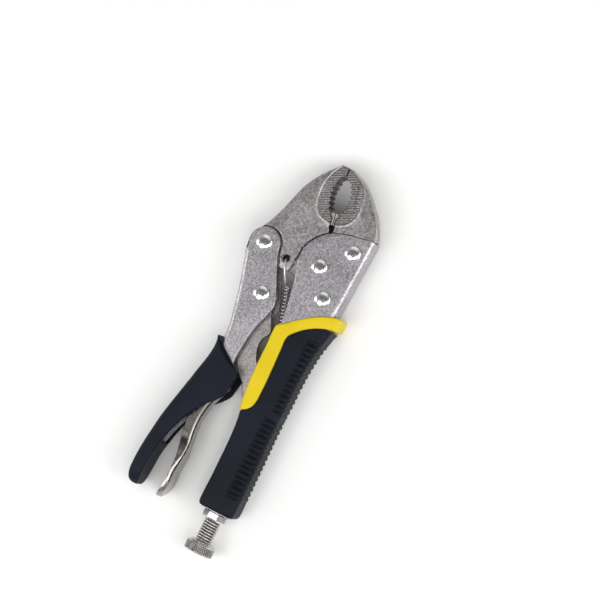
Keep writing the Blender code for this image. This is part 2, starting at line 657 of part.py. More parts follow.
def joint_empty(name, pivot, parent):
    made = bpy.data.objects.new(name, None)
    bpy.context.scene.collection.objects.link(made)
    origin = parent["pivot"] if "pivot" in parent else (0.0, 0.0)
    made["pivot"] = pivot
    made.parent = parent
    made.location = ((pivot[0] - origin[0]) * MM, (pivot[1] - origin[1]) * MM, 0)
    return made


def hang(piece, holder):
    """Parents a piece to its body's empty and keeps it where it was made."""
    origin = holder["pivot"] if "pivot" in holder else (0.0, 0.0)
    piece.location = piece.location - Vector((origin[0] * MM, origin[1] * MM, 0))
    piece.parent = holder


def main():
    remove_everything()
    pearl = material("pearl_nickel_steel", (0.40, 0.38, 0.37), 0.42, 1.0)
    forged = material("forged_nickel_steel", (0.42, 0.39, 0.37), 0.45, 1.0)
    bright = material("polished_nickel", (0.75, 0.75, 0.77), 0.15, 1.0)
    plated = material("plated_screw_steel", (0.50, 0.50, 0.52), 0.3, 1.0)
    wire = material("spring_wire", (0.60, 0.60, 0.62), 0.25, 1.0)
    rubber = material("navy_black_rubber", (0.012, 0.015, 0.028), 0.5, 0.0)
    yellow = material("yellow_rubber", (0.80, 0.60, 0.03), 0.45, 0.0)

    tool = bpy.data.objects.new("tool_frame", None)
    bpy.context.scene.collection.objects.link(tool)
    tool.location = (FRAME_X * MM, FRAME_Y * MM, FRAME_Z * MM)
    jaw = joint_empty("jaw_pivot", JAW_PIVOT, tool)
    handle = joint_empty("handle_pivot", HANDLE_PIVOT, jaw)
    link = joint_empty("link_pivot", LINK_PIVOT, handle)
    lever = joint_empty("lever_pivot", LEVER_PIVOT, handle)
    screw = joint_empty("screw_slide", (KNOB_FRONT_X, SCREW_AXIS_Y), tool)

    for piece in (fixed_handle(pearl), fixed_jaw(forged), fixed_grip(rubber), fixed_grip_trim(yellow),
                  bush(bright), jaw_rivet("jaw_pivot_rivet", JAW_PIVOT, PLATE_OUT, RIVET_SHANK_R, bright),
                  jaw_rivet("fixed_jaw_front_rivet", FRONT_RIVET, PLATE_OUT, RIVET_SHANK_R, bright),
                  jaw_rivet("fixed_jaw_rear_rivet", REAR_RIVET, PLATE_OUT, RIVET_SHANK_R, bright),
                  jaw_spring(wire)):
        hang(piece, tool)
    for piece in (movable_jaw(forged),
                  jaw_rivet("handle_pivot_rivet", HANDLE_PIVOT, PLATE_OUT, RIVET_SHANK_R, bright)):
        hang(piece, jaw)
    for piece in (movable_handle(pearl), movable_grip(rubber), lever_pin(bright),
                  jaw_rivet("link_pivot_rivet", LINK_PIVOT, PLATE_OUT, LINK_RIVET_SHANK_R, bright)):
        hang(piece, handle)
    hang(toggle_link(pearl), link)
    hang(release_lever(bright), lever)
    for piece in (adjusting_screw(plated), knurled_knob(plated)):
        hang(piece, screw)


main()
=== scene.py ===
# %% [markdown]
# # Locking pliers, clamped shut
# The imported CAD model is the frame: it says how big each piece is, where the pivots
# are and which pieces move together. This notebook gives every piece its real
# surface and finish, and leaves the frame's sizes and joints alone.

# %% Load the frame
import json

import bpy
import bmesh
import numpy as np
from math import radians
from mathutils import Matrix, Vector


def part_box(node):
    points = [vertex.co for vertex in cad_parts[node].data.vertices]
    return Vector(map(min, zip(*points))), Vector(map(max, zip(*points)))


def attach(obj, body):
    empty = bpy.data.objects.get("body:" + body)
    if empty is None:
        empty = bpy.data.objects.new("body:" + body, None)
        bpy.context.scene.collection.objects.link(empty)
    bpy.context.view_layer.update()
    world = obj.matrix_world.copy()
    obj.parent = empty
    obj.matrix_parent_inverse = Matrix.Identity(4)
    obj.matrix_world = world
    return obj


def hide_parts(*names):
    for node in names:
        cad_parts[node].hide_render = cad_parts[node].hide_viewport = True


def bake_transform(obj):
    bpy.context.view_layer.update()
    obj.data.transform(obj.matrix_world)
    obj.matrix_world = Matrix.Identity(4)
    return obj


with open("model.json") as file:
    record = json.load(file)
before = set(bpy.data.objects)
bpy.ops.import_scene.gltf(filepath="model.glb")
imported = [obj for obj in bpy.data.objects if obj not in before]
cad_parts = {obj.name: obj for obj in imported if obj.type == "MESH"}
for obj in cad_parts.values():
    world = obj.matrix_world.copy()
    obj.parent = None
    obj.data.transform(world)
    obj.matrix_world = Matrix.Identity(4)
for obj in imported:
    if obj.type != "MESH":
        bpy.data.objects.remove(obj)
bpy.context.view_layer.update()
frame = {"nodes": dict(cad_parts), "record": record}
JOINTS = {joint["name"]: joint for joint in frame["record"]["behaviour"]["joints"]}
print("nodes in the frame:", len(frame["nodes"]), "joints:", sorted(JOINTS))

# %% [markdown]
# ## Working in millimetres about the jaw pivot
# The tool was laid out from its jaw pivot, with +X towards the jaws, +Y towards the
# moving handle and +Z across the width. Shapes are written in that layout, and one
# function carries them to the frame's metres.

# %% Layout, pivots and widths
ORIGIN = np.array(JOINTS["jaw_opening"]["pos_m"])


def in_layout(point):
    """Frame metres to layout millimetres."""
    return (np.array(point) - ORIGIN) * 1000.0


def half_width(node):
    """Half of a node's size across the tool, in millimetres."""
    low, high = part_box(node)
    return (high[2] - low[2]) * 500.0


JAW_PIVOT = np.array([0.0, 0.0])
HANDLE_PIVOT = in_layout(JOINTS["handle_opening"]["pos_m"])[:2]
LINK_PIVOT = in_layout(JOINTS["link_swing"]["pos_m"])[:2]
AXIS_Y = in_layout(JOINTS["knob_turn"]["pos_m"])[1]
PLATE_OUT = half_width("fixed_handle")
SHEET = 1.8
PLATE_IN = PLATE_OUT - SHEET
JAW_HALF = half_width("movable_jaw")
TANG_HALF = JAW_HALF - 1.1
TRIM_OUT = half_width("fixed_grip_trim")
print("pivots", HANDLE_PIVOT.round(2), LINK_PIVOT.round(2), "plates", PLATE_OUT, "jaws", JAW_HALF)

# %% [markdown]
# ## Surfaces as grids of points
# Every piece here is a grid: one direction runs along the piece and the other round
# its section. A whole grid is worked out at once as a numpy array, so the shape is
# readable as a formula. The only mesh code needed is one function that turns a grid
# into a closed solid.

# %% Curves and grids
def through(keys, count):
    """Smooth curve through every key row, as count rows.

    Between two keys a point is a cubic whose slopes at the keys are weighted means of
    the steps on either side, and a long step next to a short one is held back, so that
    uneven steps neither loop nor bulge. Each step gets an equal share of the rows.
    """
    keys = np.asarray(keys, float)
    step = np.diff(keys, axis=0)
    size = np.maximum(np.linalg.norm(step[:, :4], axis=1), 1e-6)[:, None]
    slope = step / size
    inner = (slope[1:] * size[:-1] + slope[:-1] * size[1:]) / (size[:-1] + size[1:])
    slope = np.vstack([slope[:1], inner, slope[-1:]])
    t = np.linspace(0.0, len(keys) - 1.0, count)
    i = np.minimum(t.astype(int), len(keys) - 2)
    f = (t - i)[:, None]
    leave = slope[i] * np.minimum(size, 2 * np.vstack([size[:1], size[:-1]]))[i]
    arrive = slope[i + 1] * np.minimum(size, 2 * np.vstack([size[1:], size[-1:]]))[i]
    blend = f * f * (3 - 2 * f)
    return keys[i] + step[i] * blend + leave * f * (1 - f) ** 2 - arrive * f * f * (1 - f)


def evenly(points, count):
    """The same polyline as count points at equal distances along it."""
    points = np.asarray(points, float)
    steps = np.linalg.norm(np.diff(points, axis=0), axis=1)
    along = np.concatenate([[0.0], np.cumsum(steps)])
    wanted = np.linspace(0.0, along[-1], count)
    return np.column_stack([np.interp(wanted, along, points[:, k]) for k in range(points.shape[1])])


def arc(centre, radius, start, end, count=24):
    """Points on a circle, angles in degrees."""
    angle = np.radians(np.linspace(start, end, count))
    return np.column_stack([centre[0] + radius * np.cos(angle), centre[1] + radius * np.sin(angle)])


def smoothstep(value, low, high):
    """0 below low, 1 above high, an S-curve between."""
    t = np.clip((value - low) / (high - low), 0.0, 1.0)
    return t * t * (3.0 - 2.0 * t)


def solid_from_grid(name, grid, sharp=32.0, groove=None):
    """Closed solid from a grid of rings in layout millimetres.

    grid has shape (rings, points per ring, 3). Neighbouring rings are joined by
    quads, each ring closes on itself, and the first and last rings are filled.
    """
    rings, around, _ = grid.shape
    verts = ORIGIN + grid.reshape(-1, 3) * 0.001
    i, j = np.meshgrid(np.arange(rings - 1), np.arange(around), indexing="ij")
    k = (j + 1) % around
    quads = np.stack([i * around + j, i * around + k, (i + 1) * around + k, (i + 1) * around + j], axis=-1)
    faces = quads.reshape(-1, 4).tolist()
    faces.append(list(range(around))[::-1])
    faces.append(list(range((rings - 1) * around, rings * around)))
    return solid(name, verts, faces, sharp, groove)


def solid(name, verts, faces, sharp=32.0, groove=None):
    """Mesh object from points and faces, with normals out and round parts smooth.

    groove, one value a point, says how deep in a recess the point lies; the finishes
    darken there, partly as dirt that collects and partly as painted shade.
    """
    mesh = bpy.data.meshes.new(name)
    mesh.from_pydata(verts.tolist(), [], faces)
    if groove is not None:
        depth = mesh.attributes.new("groove", "FLOAT", "POINT")
        depth.data.foreach_set("value", np.ascontiguousarray(groove, dtype=np.float32).ravel())
    form = bmesh.new()
    form.from_mesh(mesh)
    bmesh.ops.remove_doubles(form, verts=form.verts, dist=2e-7)
    bmesh.ops.dissolve_degenerate(form, edges=form.edges, dist=1e-7)
    bmesh.ops.recalc_face_normals(form, faces=form.faces)
    if form.calc_volume(signed=True) < 0:
        bmesh.ops.reverse_faces(form, faces=form.faces)
    form.to_mesh(mesh)
    form.free()
    mesh.shade_smooth()
    mesh.set_sharp_from_angle(angle=radians(sharp))
    piece = bpy.data.objects.new(name, mesh)
    bpy.context.scene.collection.objects.link(piece)
    print(f"{name}: {len(mesh.polygons)} faces")
    return piece


# %% [markdown]
# ## Materials
# The body metal is pressed and forged carbon steel with a satin nickel plate. Plating
# copies the blasted surface under it, so it keeps a fine grain and a soft grey sheen,
# while the rivet heads and the lever were polished first and mirror the room. The
# sleeves are soft moulded PVC: dark, low sheen, with a faint moulding texture.
# All patterns use Object coordinates, so they stay put when a piece moves.

# %% Colour and node helpers
def linear(hex_colour):
    """sRGB hex string to linear RGBA."""
    values = [int(hex_colour[i:i + 2], 16) / 255.0 for i in (1, 3, 5)]
    values = [v / 12.92 if v <= 0.04045 else ((v + 0.055) / 1.055) ** 2.4 for v in values]
    return (*values, 1.0)


def add_node(tree, kind, inputs=None, **settings):
    """Adds a node, sets its properties, and fills or links its inputs by name or number."""
    made = tree.nodes.new(kind)
    for key, value in settings.items():
        setattr(made, key, value)
    for key, value in (inputs or {}).items():
        if isinstance(value, bpy.types.NodeSocket):
            tree.links.new(value, made.inputs[key])
        else:
            made.inputs[key].default_value = value
    return made


def per_mm(size_mm):
    """Noise scale for features of a size, because Object coordinates are metres."""
    return 1000.0 / size_mm


def new_material(name):
    made = bpy.data.materials.new(name)
    made.use_nodes = True
    tree = made.node_tree
    shader = tree.nodes["Principled BSDF"]
    place = add_node(tree, "ShaderNodeTexCoord").outputs["Object"]
    return made, tree, shader, place


# %% Metals
def darkened(tree, colour, dirt_and_shade):
    """Blends a colour towards a dark colour where the groove attribute is high: partly dirt, partly painted
    shade.
    """
    groove = add_node(tree, "ShaderNodeAttribute", attribute_name="groove")
    return add_node(tree, "ShaderNodeMix", {0: groove.outputs["Fac"], 6: colour, 7: linear(dirt_and_shade)},
                    data_type="RGBA").outputs[2]


def plated_steel(name, light, dark, roughness, grain_mm, grain_height, cloud_mm=9.0, speck_mm=1.6):
    """Satin nickel over blasted steel: clouded tone, speckled grain, uneven sheen."""
    made, tree, shader, place = new_material(name)
    cloud = add_node(tree, "ShaderNodeTexNoise", {"Vector": place, "Scale": per_mm(cloud_mm), "Detail": 3.0})
    grain = add_node(tree, "ShaderNodeTexNoise", {"Vector": place, "Scale": per_mm(grain_mm), "Detail": 2.0})
    speck = add_node(tree, "ShaderNodeTexNoise", {"Vector": place, "Scale": per_mm(speck_mm), "Detail": 4.0})
    blend = add_node(tree, "ShaderNodeMath", {0: grain.outputs["Fac"], 1: 3.0, 2: cloud.outputs["Fac"]},
                     operation="MULTIPLY_ADD")
    blend = add_node(tree, "ShaderNodeMath", {0: blend.outputs[0], 1: speck.outputs["Fac"]}, operation="ADD")
    tone = add_node(tree, "ShaderNodeMapRange", {"Value": blend.outputs[0], "From Min": 1.9, "From Max": 3.1})
    colour = add_node(tree, "ShaderNodeMix", {0: tone.outputs[0], 6: linear(dark), 7: linear(light)},
                      data_type="RGBA")
    sheen = add_node(tree, "ShaderNodeMapRange",
                     {"Value": speck.outputs["Fac"], "From Min": 0.3, "From Max": 0.7,
                      "To Min": roughness - 0.05, "To Max": roughness + 0.06})
    bump = add_node(tree, "ShaderNodeBump",
                    {"Height": grain.outputs["Fac"], "Strength": 1.0, "Distance": grain_height * 0.001})
    # Recesses darken towards #37322F: partly dirt, partly painted shade.
    tree.links.new(darkened(tree, colour.outputs[2], "#37322F"), shader.inputs["Base Color"])
    tree.links.new(sheen.outputs[0], shader.inputs["Roughness"])
    tree.links.new(bump.outputs[0], shader.inputs["Normal"])
    shader.inputs["Metallic"].default_value = 1.0
    return made


PRESSED = plated_steel("satin_nickel_pressed_steel", "#C5C2C6", "#8F8B8F", 0.40, 0.8, 0.012)
FORGED = plated_steel("satin_nickel_forged_steel", "#BCB8BB", "#87837F", 0.42, 0.85, 0.014, 6.0)
LINK_STEEL = plated_steel("satin_nickel_link_steel", "#BEB9B8", "#8C8786", 0.40, 0.75, 0.012, 7.0)
POLISHED = plated_steel("polished_nickel_lever_steel", "#A9A5A1", "#96928E", 0.26, 0.8, 0.001, 5.0)
RIVET = plated_steel("bright_nickel_rivet_steel", "#E6E5E6", "#DCDADB", 0.19, 1.2, 0.0005)
SCREW_STEEL = plated_steel("turned_nickel_screw_steel", "#D2CFCE", "#B4B0AF", 0.27, 0.5, 0.001, 5.0, 0.9)
BUSH_STEEL = plated_steel("bright_nickel_bush_steel", "#DEDCDC", "#CAC7C7", 0.16, 0.6, 0.0005)
WIRE_STEEL = plated_steel("drawn_spring_wire_steel", "#CFCBCA", "#B3AFAE", 0.24, 0.5, 0.001)


# %% Soft plastics
def moulded_pvc(name, base, worn, roughness, texture_mm, height, shine):
    """Soft moulded PVC: nearly even colour, fine mould texture, slightly clouded sheen."""
    made, tree, shader, place = new_material(name)
    cloud = add_node(tree, "ShaderNodeTexNoise", {"Vector": place, "Scale": per_mm(14.0), "Detail": 4.0})
    texture = add_node(tree, "ShaderNodeTexNoise",
                       {"Vector": place, "Scale": per_mm(texture_mm), "Detail": 3.0})
    tone = add_node(tree, "ShaderNodeMapRange",
                    {"Value": cloud.outputs["Fac"], "From Min": 0.35, "From Max": 0.7})
    colour = add_node(tree, "ShaderNodeMix", {0: tone.outputs[0], 6: linear(base), 7: linear(worn)},
                      data_type="RGBA")
    sheen = add_node(tree, "ShaderNodeMapRange",
                     {"Value": texture.outputs["Fac"], "From Min": 0.3, "From Max": 0.7,
                      "To Min": roughness - 0.06, "To Max": roughness + 0.06})
    bump = add_node(tree, "ShaderNodeBump",
                    {"Height": texture.outputs["Fac"], "Strength": 1.0, "Distance": height * 0.001})
    # Rib gaps and recesses darken to near black: partly dust, partly painted shade.
    tree.links.new(darkened(tree, colour.outputs[2], "#020305"), shader.inputs["Base Color"])
    tree.links.new(sheen.outputs[0], shader.inputs["Roughness"])
    tree.links.new(bump.outputs[0], shader.inputs["Normal"])
    shader.inputs["Specular IOR Level"].default_value = shine
    return made


BLACK_PVC = moulded_pvc("navy_black_moulded_pvc", "#10131D", "#141824", 0.52, 0.6, 0.012, 0.13)
YELLOW_PVC = moulded_pvc("yellow_moulded_pvc", "#CFB614", "#D6BD1A", 0.5, 0.7, 0.008, 0.2)


# %% A piece gets its finish and its body, and the frame's nodes it replaces are hidden
def finish_piece(piece, body, shade, slot, *nodes):
    piece.data.materials.clear()
    piece.data.materials.append(shade)
    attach(piece, body)
    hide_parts(*nodes)
    return piece


# %% [markdown]
# ## Bent sheet and sleeves
# A handle is one strip of steel bent into a channel: a back, two rounded bends and
# two side plates that reach to a cut edge. Its sleeve has the same section, thicker.
# One function covers both: at each station a straight line runs from the back to the
# edge, and the section is drawn in the plane of that line and the width.

# %% Section of a channel along its length
def corner(centre_q, centre_z, radius, start, end, count):
    """Quarter circle of a section in (q, z), for all stations at once."""
    angle = np.radians(np.linspace(start, end, count))[None, :]
    return np.stack([centre_q[:, None] + radius[:, None] * np.cos(angle),
                     centre_z[:, None] + radius[:, None] * np.sin(angle)], axis=-1)


def channel_section(reach, out, inner, bend, depth, lip_out, lip_in, flat=9, inside=None):
    """Half section (z > 0) of a U, from the middle of its back to the middle of its roof.

    q is the distance from the back towards the open edge. The outer path is flat
    back, bend, side, lip; the inner path is lip, wall and roof at q = reach - depth.
    flat is how many points a straight part has, and inside the same for wall and roof.
    """
    roof = reach - depth
    ones = np.ones_like(reach)
    fillet = np.minimum(np.maximum(bend - (out - inner), 0.15), 0.45 * np.minimum(depth, inner)) * ones
    straight = np.linspace(0.0, 1.0, flat)[None, :]
    hidden = np.linspace(0.0, 1.0, inside or flat)[None, :]

    def line(q0, z0, q1, z1, share=straight):
        return np.stack([q0[:, None] + (q1 - q0)[:, None] * share,
                         z0[:, None] + (z1 - z0)[:, None] * share], axis=-1)

    parts = [
        line(0 * ones, 0 * ones, 0 * ones, out - bend),
        corner(bend * ones, out - bend, bend * ones, 180, 90, 9),
        line(bend * ones, out, reach - lip_out, out),
        corner(reach - lip_out, out - lip_out, lip_out, 90, 0, 6),
        corner(reach - lip_in, inner + lip_in, lip_in, 0, -90, 5),
        line(reach - lip_in, inner, roof + fillet, inner, hidden),
        corner(roof + fillet, inner - fillet, fillet, 90, 180, 6),
        line(roof, inner - fillet, roof, 0 * ones, hidden),
    ]
    return np.concatenate(parts, axis=1)


def channel_piece(name, keys, count, section, bow=None, relief=None):
    """Closed channel from key rows that start with back x, y and edge x, y.

    relief may move the points of a section, and gives the groove value.
    """
    rows = through(keys, count)
    back, edge = rows[:, 0:2], rows[:, 2:4]
    reach = np.linalg.norm(edge - back, axis=1)
    along = (edge - back) / reach[:, None]
    half = section(rows, reach)
    loop = np.concatenate([half, half[:, ::-1] * np.array([1.0, -1.0])], axis=1)
    q, z, groove = loop[..., 0], loop[..., 1], None
    if relief is not None:
        q, z, groove = relief(back, along, q, z)
    xy = back[:, None, :] + along[:, None, :] * q[..., None]
    if bow is not None:
        share = np.clip(q / reach[:, None], 0.0, 1.0)
        across = np.stack([along[:, 1], -along[:, 0]], axis=-1)
        xy = xy + across[:, None, :] * (bow(rows)[:, None] * 4 * share * (1 - share))[..., None]
    return solid_from_grid(name, np.concatenate([xy, z[..., None]], axis=-1), groove=groove)


def plain_sheet(rows, reach):
    """Section of bare sheet: constant width, 2.3 mm bends, slightly broken edges."""
    ones = np.ones_like(reach)
    inner = PLATE_IN * ones
    depth = np.maximum(reach - SHEET, 0.35)
    return channel_section(reach, PLATE_OUT * ones, inner, 2.3 * ones, depth, 0.35 * ones, 0.2 * ones)


# %% [markdown]
# ### The two handles
# The fixed handle's back lies on the screw's side and its plates carry the jaws. The
# moving handle's back stops short of the handle pivot, so its plates fan out into two
# round ears: there the lines from the back's end turn like a hand fan.

# %% Handles
FIXED_KEYS = [
    (-118.3, -13.6, -118.3, -0.2), (-96.0, -13.5, -96.0, -0.2), (-75.0, -13.2, -75.0, -0.2),
    (-66.0, -13.1, -66.0, 2.2), (-50.0, -13.1, -50.0, 3.2), (-40.0, -13.6, -40.0, 3.6),
    (-29.0, -15.1, -29.5, 4.3), (-22.0, -16.0, -21.5, 5.4), (-15.5, -16.6, -15.0, 6.6),
    (-9.5, -17.0, -10.0, 7.7), (-4.5, -17.2, -5.6, 9.0), (-0.5, -17.4, -1.6, 10.2), (3.0, -17.5, 1.8, 10.6),
    (6.3, -17.6, 5.0, 10.2), (9.4, -17.8, 8.4, 8.9), (12.0, -17.9, 11.7, 6.6), (14.0, -17.95, 14.4, 3.9),
    (15.7, -18.0, 16.3, 1.2), (17.1, -18.05, 17.5, -2.0), (18.2, -18.1, 18.4, -5.4),
    (19.1, -18.15, 19.2, -9.6), (19.8, -18.2, 19.9, -13.4), (20.3, -18.2, 20.3, -15.4)]

nose = arc(HANDLE_PIVOT, 7.1, -62, 122, 9)
fan_back = np.column_stack([np.linspace(-8.9, -8.45, 9), np.linspace(33.8, 33.95, 9)])
MOVABLE_KEYS = [
    (-119.0, 35.2, -119.0, 32.4), (-110.0, 35.3, -110.0, 31.9), (-100.0, 34.3, -98.5, 29.6),
    (-86.0, 32.2, -84.0, 24.2), (-70.0, 28.6, -71.5, 16.6), (-62.0, 26.6, -62.5, 14.2),
    (-54.0, 25.3, -54.5, 15.9), (-47.0, 25.2, -47.0, 15.6), (-40.5, 25.8, -40.0, 14.8),
    (-35.0, 26.8, -34.5, 13.5), (-31.0, 27.7, -30.4, 12.0), (-27.5, 28.6, -27.2, 10.9),
    (-24.3, 29.3, -24.4, 10.6), (-20.5, 30.3, -21.3, 11.6), (-16.5, 31.5, -17.0, 13.4),
    (-12.6, 32.7, -12.6, 15.5), (-9.6, 33.6, -8.2, 17.6), (-9.1, 33.75, -3.2, 19.8)]
MOVABLE_KEYS += [(*b, *e) for b, e in zip(fan_back, nose)]

fixed_handle = channel_piece("fixed_handle_steel", FIXED_KEYS, 420, plain_sheet)
movable_handle = channel_piece("movable_handle_steel", MOVABLE_KEYS, 460, plain_sheet)
finish_piece(fixed_handle, "fixed_side", PRESSED, "handle_steel", "fixed_handle")
finish_piece(movable_handle, "handle", PRESSED, "handle_steel", "movable_handle")

# %% [markdown]
# ### The release lever
# A narrow polished channel that nests in the moving handle. Its back is the side that
# the fingers pull; its flanges run deep inside the handle and fade to a low rim along
# the paddle at the tail.

# %% Lever
LEVER_KEYS = [
    (-66.6, 13.3, -63.0, 24.4, 4.6), (-70.0, 14.6, -69.0, 25.0, 4.6), (-76.0, 16.9, -76.0, 25.0, 4.6),
    (-81.0, 18.0, -81.0, 24.8, 4.6), (-86.0, 18.5, -86.5, 24.3, 4.6), (-91.7, 18.2, -92.0, 23.3, 4.6),
    (-96.0, 17.6, -96.4, 22.4, 4.7), (-99.5, 17.3, -99.8, 21.5, 5.6), (-103.0, 17.2, -103.2, 20.5, 6.9),
    (-107.0, 17.5, -107.0, 20.0, 7.7), (-111.0, 17.8, -111.0, 20.0, 7.95), (-117.0, 17.6, -117.0, 20.0, 7.95),
    (-119.6, 17.9, -119.7, 20.3, 7.5), (-121.6, 18.5, -121.8, 20.8, 6.3), (-123.0, 19.1, -123.3, 21.2, 4.5),
    (-123.8, 19.5, -123.95, 21.3, 2.3)]


def lever_sheet(rows, reach):
    """Section of the lever: 1.2 mm sheet; the last column of the keys is its half width."""
    out = rows[:, 4]
    ones = np.ones_like(reach)
    depth = np.maximum(reach - 1.3, 0.3)
    return channel_section(reach, out, out - 1.2, np.minimum(1.9, 0.7 * out) * ones, depth, 0.3 * ones,
                           0.2 * ones)


def lever_painted_shade(back, along, q, z):
    """Shape unchanged; painted shade darkens the flanks in front of the paddle, which lie in the sleeve's
    shadow, and leaves the spine and the paddle at their own colour.
    """
    place = back[:, None, :] + along[:, None, :] * q[..., None]
    return q, z, 0.72 * smoothstep(place[..., 0], -108.0, -99.0) * smoothstep(q, 0.5, 1.4)


lever = channel_piece("release_lever_steel", LEVER_KEYS, 300, lever_sheet, relief=lever_painted_shade)
finish_piece(lever, "lever", POLISHED, "lever_steel", "release_lever")

# %% [markdown]
# ### The sleeves
# The moving handle's sleeve is a thick soft U that follows the sheet and closes into a
# solid tail. The fixed handle's sleeve is open above where the link works and closed
# behind it, and its lower half carries cross ribs: raised bands that run round the
# back, in two blocks.

# %% Moving handle's sleeve
TAIL_KEYS = [
    (-123.7, 34.2, -123.7, 32.0, 3.2, 0.02), (-123.3, 35.0, -123.3, 31.3, 4.8, 0.02),
    (-122.3, 35.9, -122.3, 31.0, 6.4, 0.02), (-120.4, 36.6, -120.4, 30.9, 7.8, 0.02),
    (-117.6, 37.0, -117.6, 30.8, 8.7, 0.02), (-114.8, 37.0, -114.8, 30.7, 9.05, 0.02),
    (-112.0, 37.0, -112.0, 30.6, 9.1, 0.02), (-105.0, 36.6, -105.0, 29.9, 9.1, 0.02),
    (-102.0, 36.3, -101.8, 29.2, 9.1, 0.02), (-101.6, 36.25, -101.3, 29.05, 9.1, 3.6),
    (-98.0, 35.8, -97.0, 28.2, 9.1, 5.0), (-92.0, 35.0, -91.0, 26.3, 9.1, 6.5),
    (-86.0, 33.9, -85.0, 23.6, 9.1, 8.3), (-81.0, 32.8, -80.0, 20.7, 9.1, 10.0),
    (-76.5, 31.8, -76.6, 18.0, 9.1, 11.8), (-73.0, 31.0, -73.4, 15.0, 9.1, 14.0),
    (-70.0, 30.3, -70.4, 12.9, 9.1, 15.4), (-66.5, 29.6, -67.0, 12.1, 9.1, 15.6),
    (-62.5, 28.7, -63.2, 11.5, 9.1, 15.2), (-58.0, 27.7, -60.6, 11.2, 9.1, 14.6),
    (-52.0, 27.0, -59.4, 11.3, 9.1, 14.4), (-48.4, 27.3, -58.6, 12.0, 9.1, 14.2),
    (-47.4, 27.7, -57.9, 12.7, 8.95, 13.6), (-47.0, 27.8, -57.4, 13.2, 8.5, 13.3)]


def tail_section(rows, reach):
    """Thick U with 3 mm rounded shoulders and a soft lip; the last column is the cavity's depth."""
    out = rows[:, 4]
    ones = np.ones_like(reach)
    depth = np.minimum(np.maximum(rows[:, 5], 0.02), reach - 1.7)
    shoulder = np.minimum(3.0, np.minimum(0.42 * reach, 0.6 * out))
    lip = np.minimum(1.0 * ones, 0.3 * reach)
    return channel_section(reach, out, np.minimum(6.9, 0.8 * out) * ones, shoulder, depth, lip,
                           0.25 * ones * np.minimum(1, depth))


def front_bow(rows):
    """The slanted front edge bulges forward by 1.5 mm."""
    return 1.5 * smoothstep(rows[:, 0], -62.0, -50.0)


movable_grip = channel_piece("movable_grip_sleeve", TAIL_KEYS, 420, tail_section, bow=front_bow)
finish_piece(movable_grip, "handle", BLACK_PVC, "grip_rubber", "movable_grip")

# %% Fixed handle's sleeve with its ribs
SLEEVE_KEYS = [
    (-118.0, -13.9, -118.0, 0.0, 7.2, 6.0, 0.02), (-117.7, -14.9, -117.7, 0.9, 8.1, 6.0, 0.02),
    (-116.6, -15.5, -116.6, 1.45, 8.7, 6.0, 0.02), (-105.0, -15.5, -105.0, 1.5, 8.7, 6.0, 0.02),
    (-95.0, -15.3, -95.0, 1.55, 8.7, 6.0, 0.02), (-86.7, -15.1, -86.7, 1.65, 8.7, 6.0, 0.02),
    (-84.9, -15.03, -84.9, 1.75, 8.7, 2.5, 0.02), (-83.2, -14.98, -83.2, 1.85, 8.7, 2.5, 3.0),
    (-76.0, -14.8, -76.0, 2.5, 8.7, 2.5, 4.0), (-72.9, -14.8, -72.9, 2.95, 8.7, 2.6, 4.5),
    (-72.2, -14.8, -72.2, 2.6, 8.7, 6.8, 13.5), (-70.4, -14.8, -70.4, 0.4, 8.7, 6.85, 11.0),
    (-67.5, -14.8, -67.5, -1.5, 8.7, 6.85, 10.0), (-60.0, -14.9, -60.0, -1.9, 8.7, 6.85, 10.0),
    (-50.0, -14.9, -50.0, -1.6, 8.7, 6.85, 10.0), (-40.0, -15.5, -40.0, -1.1, 8.7, 6.85, 10.0),
    (-35.0, -16.1, -34.6, -1.0, 8.7, 6.85, 10.0), (-31.0, -16.9, -31.0, -3.6, 8.7, 6.85, 10.0),
    (-28.0, -17.6, -27.6, -7.0, 8.7, 6.85, 8.0), (-25.5, -18.2, -25.0, -11.0, 8.7, 6.85, 5.5),
    (-23.8, -18.7, -23.4, -14.6, 8.7, 6.85, 2.5)]
RIB_PITCH = 2.55
RIB_RISE = 0.40
RIB_SINK = 0.45
# Each block of ribs: it fades in along X, fades out along X, and ends at this Y.
RIB_BLOCKS = ((-109.5, -108.3, -70.6, -69.6, -8.2), (-67.8, -66.8, -31.5, -30.0, -9.9))
FIRST_RIB_X = -31.5


def sleeve_section(rows, reach):
    """Thick U or closed tube; columns 5 to 7 are half width, cavity half width and cavity depth."""
    out, inner = rows[:, 4], rows[:, 5]
    depth = np.clip(rows[:, 6], 0.02, np.maximum(reach - 1.8, 0.02))
    shoulder = np.minimum(3.0, 0.4 * reach)
    lip = np.minimum(1.3, 0.3 * reach)
    lip_in = 0.2 * np.minimum(1.0, depth)
    return channel_section(reach, out, np.minimum(inner, out - 1.55), shoulder, depth, lip, lip_in, flat=15,
                           inside=4)


def ribs(back, along, q, z):
    """Raised bands with sunk gaps: a rounded wave along X, within each block and below its top."""
    place = back[:, None, :] + along[:, None, :] * q[..., None]
    x, y = place[..., 0], place[..., 1]
    bands = sum(smoothstep(x, a, b) * (1 - smoothstep(x, c, d)) * (1 - smoothstep(y, top - 1.2, top + 0.1))
                for a, b, c, d, top in RIB_BLOCKS)
    outer = (np.abs(z) > 6.95) | (q < 1.7)
    wave = smoothstep(0.5 + 0.5 * np.cos(2 * np.pi * (x - FIRST_RIB_X) / RIB_PITCH), 0.2, 0.7)
    bands = bands * outer
    lift = ((RIB_RISE + RIB_SINK) * wave - RIB_SINK) * bands
    side = smoothstep(q, 0.0, 2.6)
    # The third value darkens the gaps between the ribs: partly dust, partly painted shade.
    return q - 0.6 * lift * (1 - side), z + np.sign(z) * lift * side, 0.8 * (1 - wave) * bands


fixed_grip = channel_piece("fixed_grip_sleeve", SLEEVE_KEYS, 760, sleeve_section, relief=ribs)
finish_piece(fixed_grip, "fixed_side", BLACK_PVC, "grip_rubber", "fixed_grip")

# %% [markdown]
# ### The yellow trim
# A second shot of PVC edges the sleeve: one ribbon that starts as a leg along the open
# side, turns down round the front of the grip, wraps the handle's back and returns on
# the far side. It is a rounded rectangle carried along a path between two edge curves.

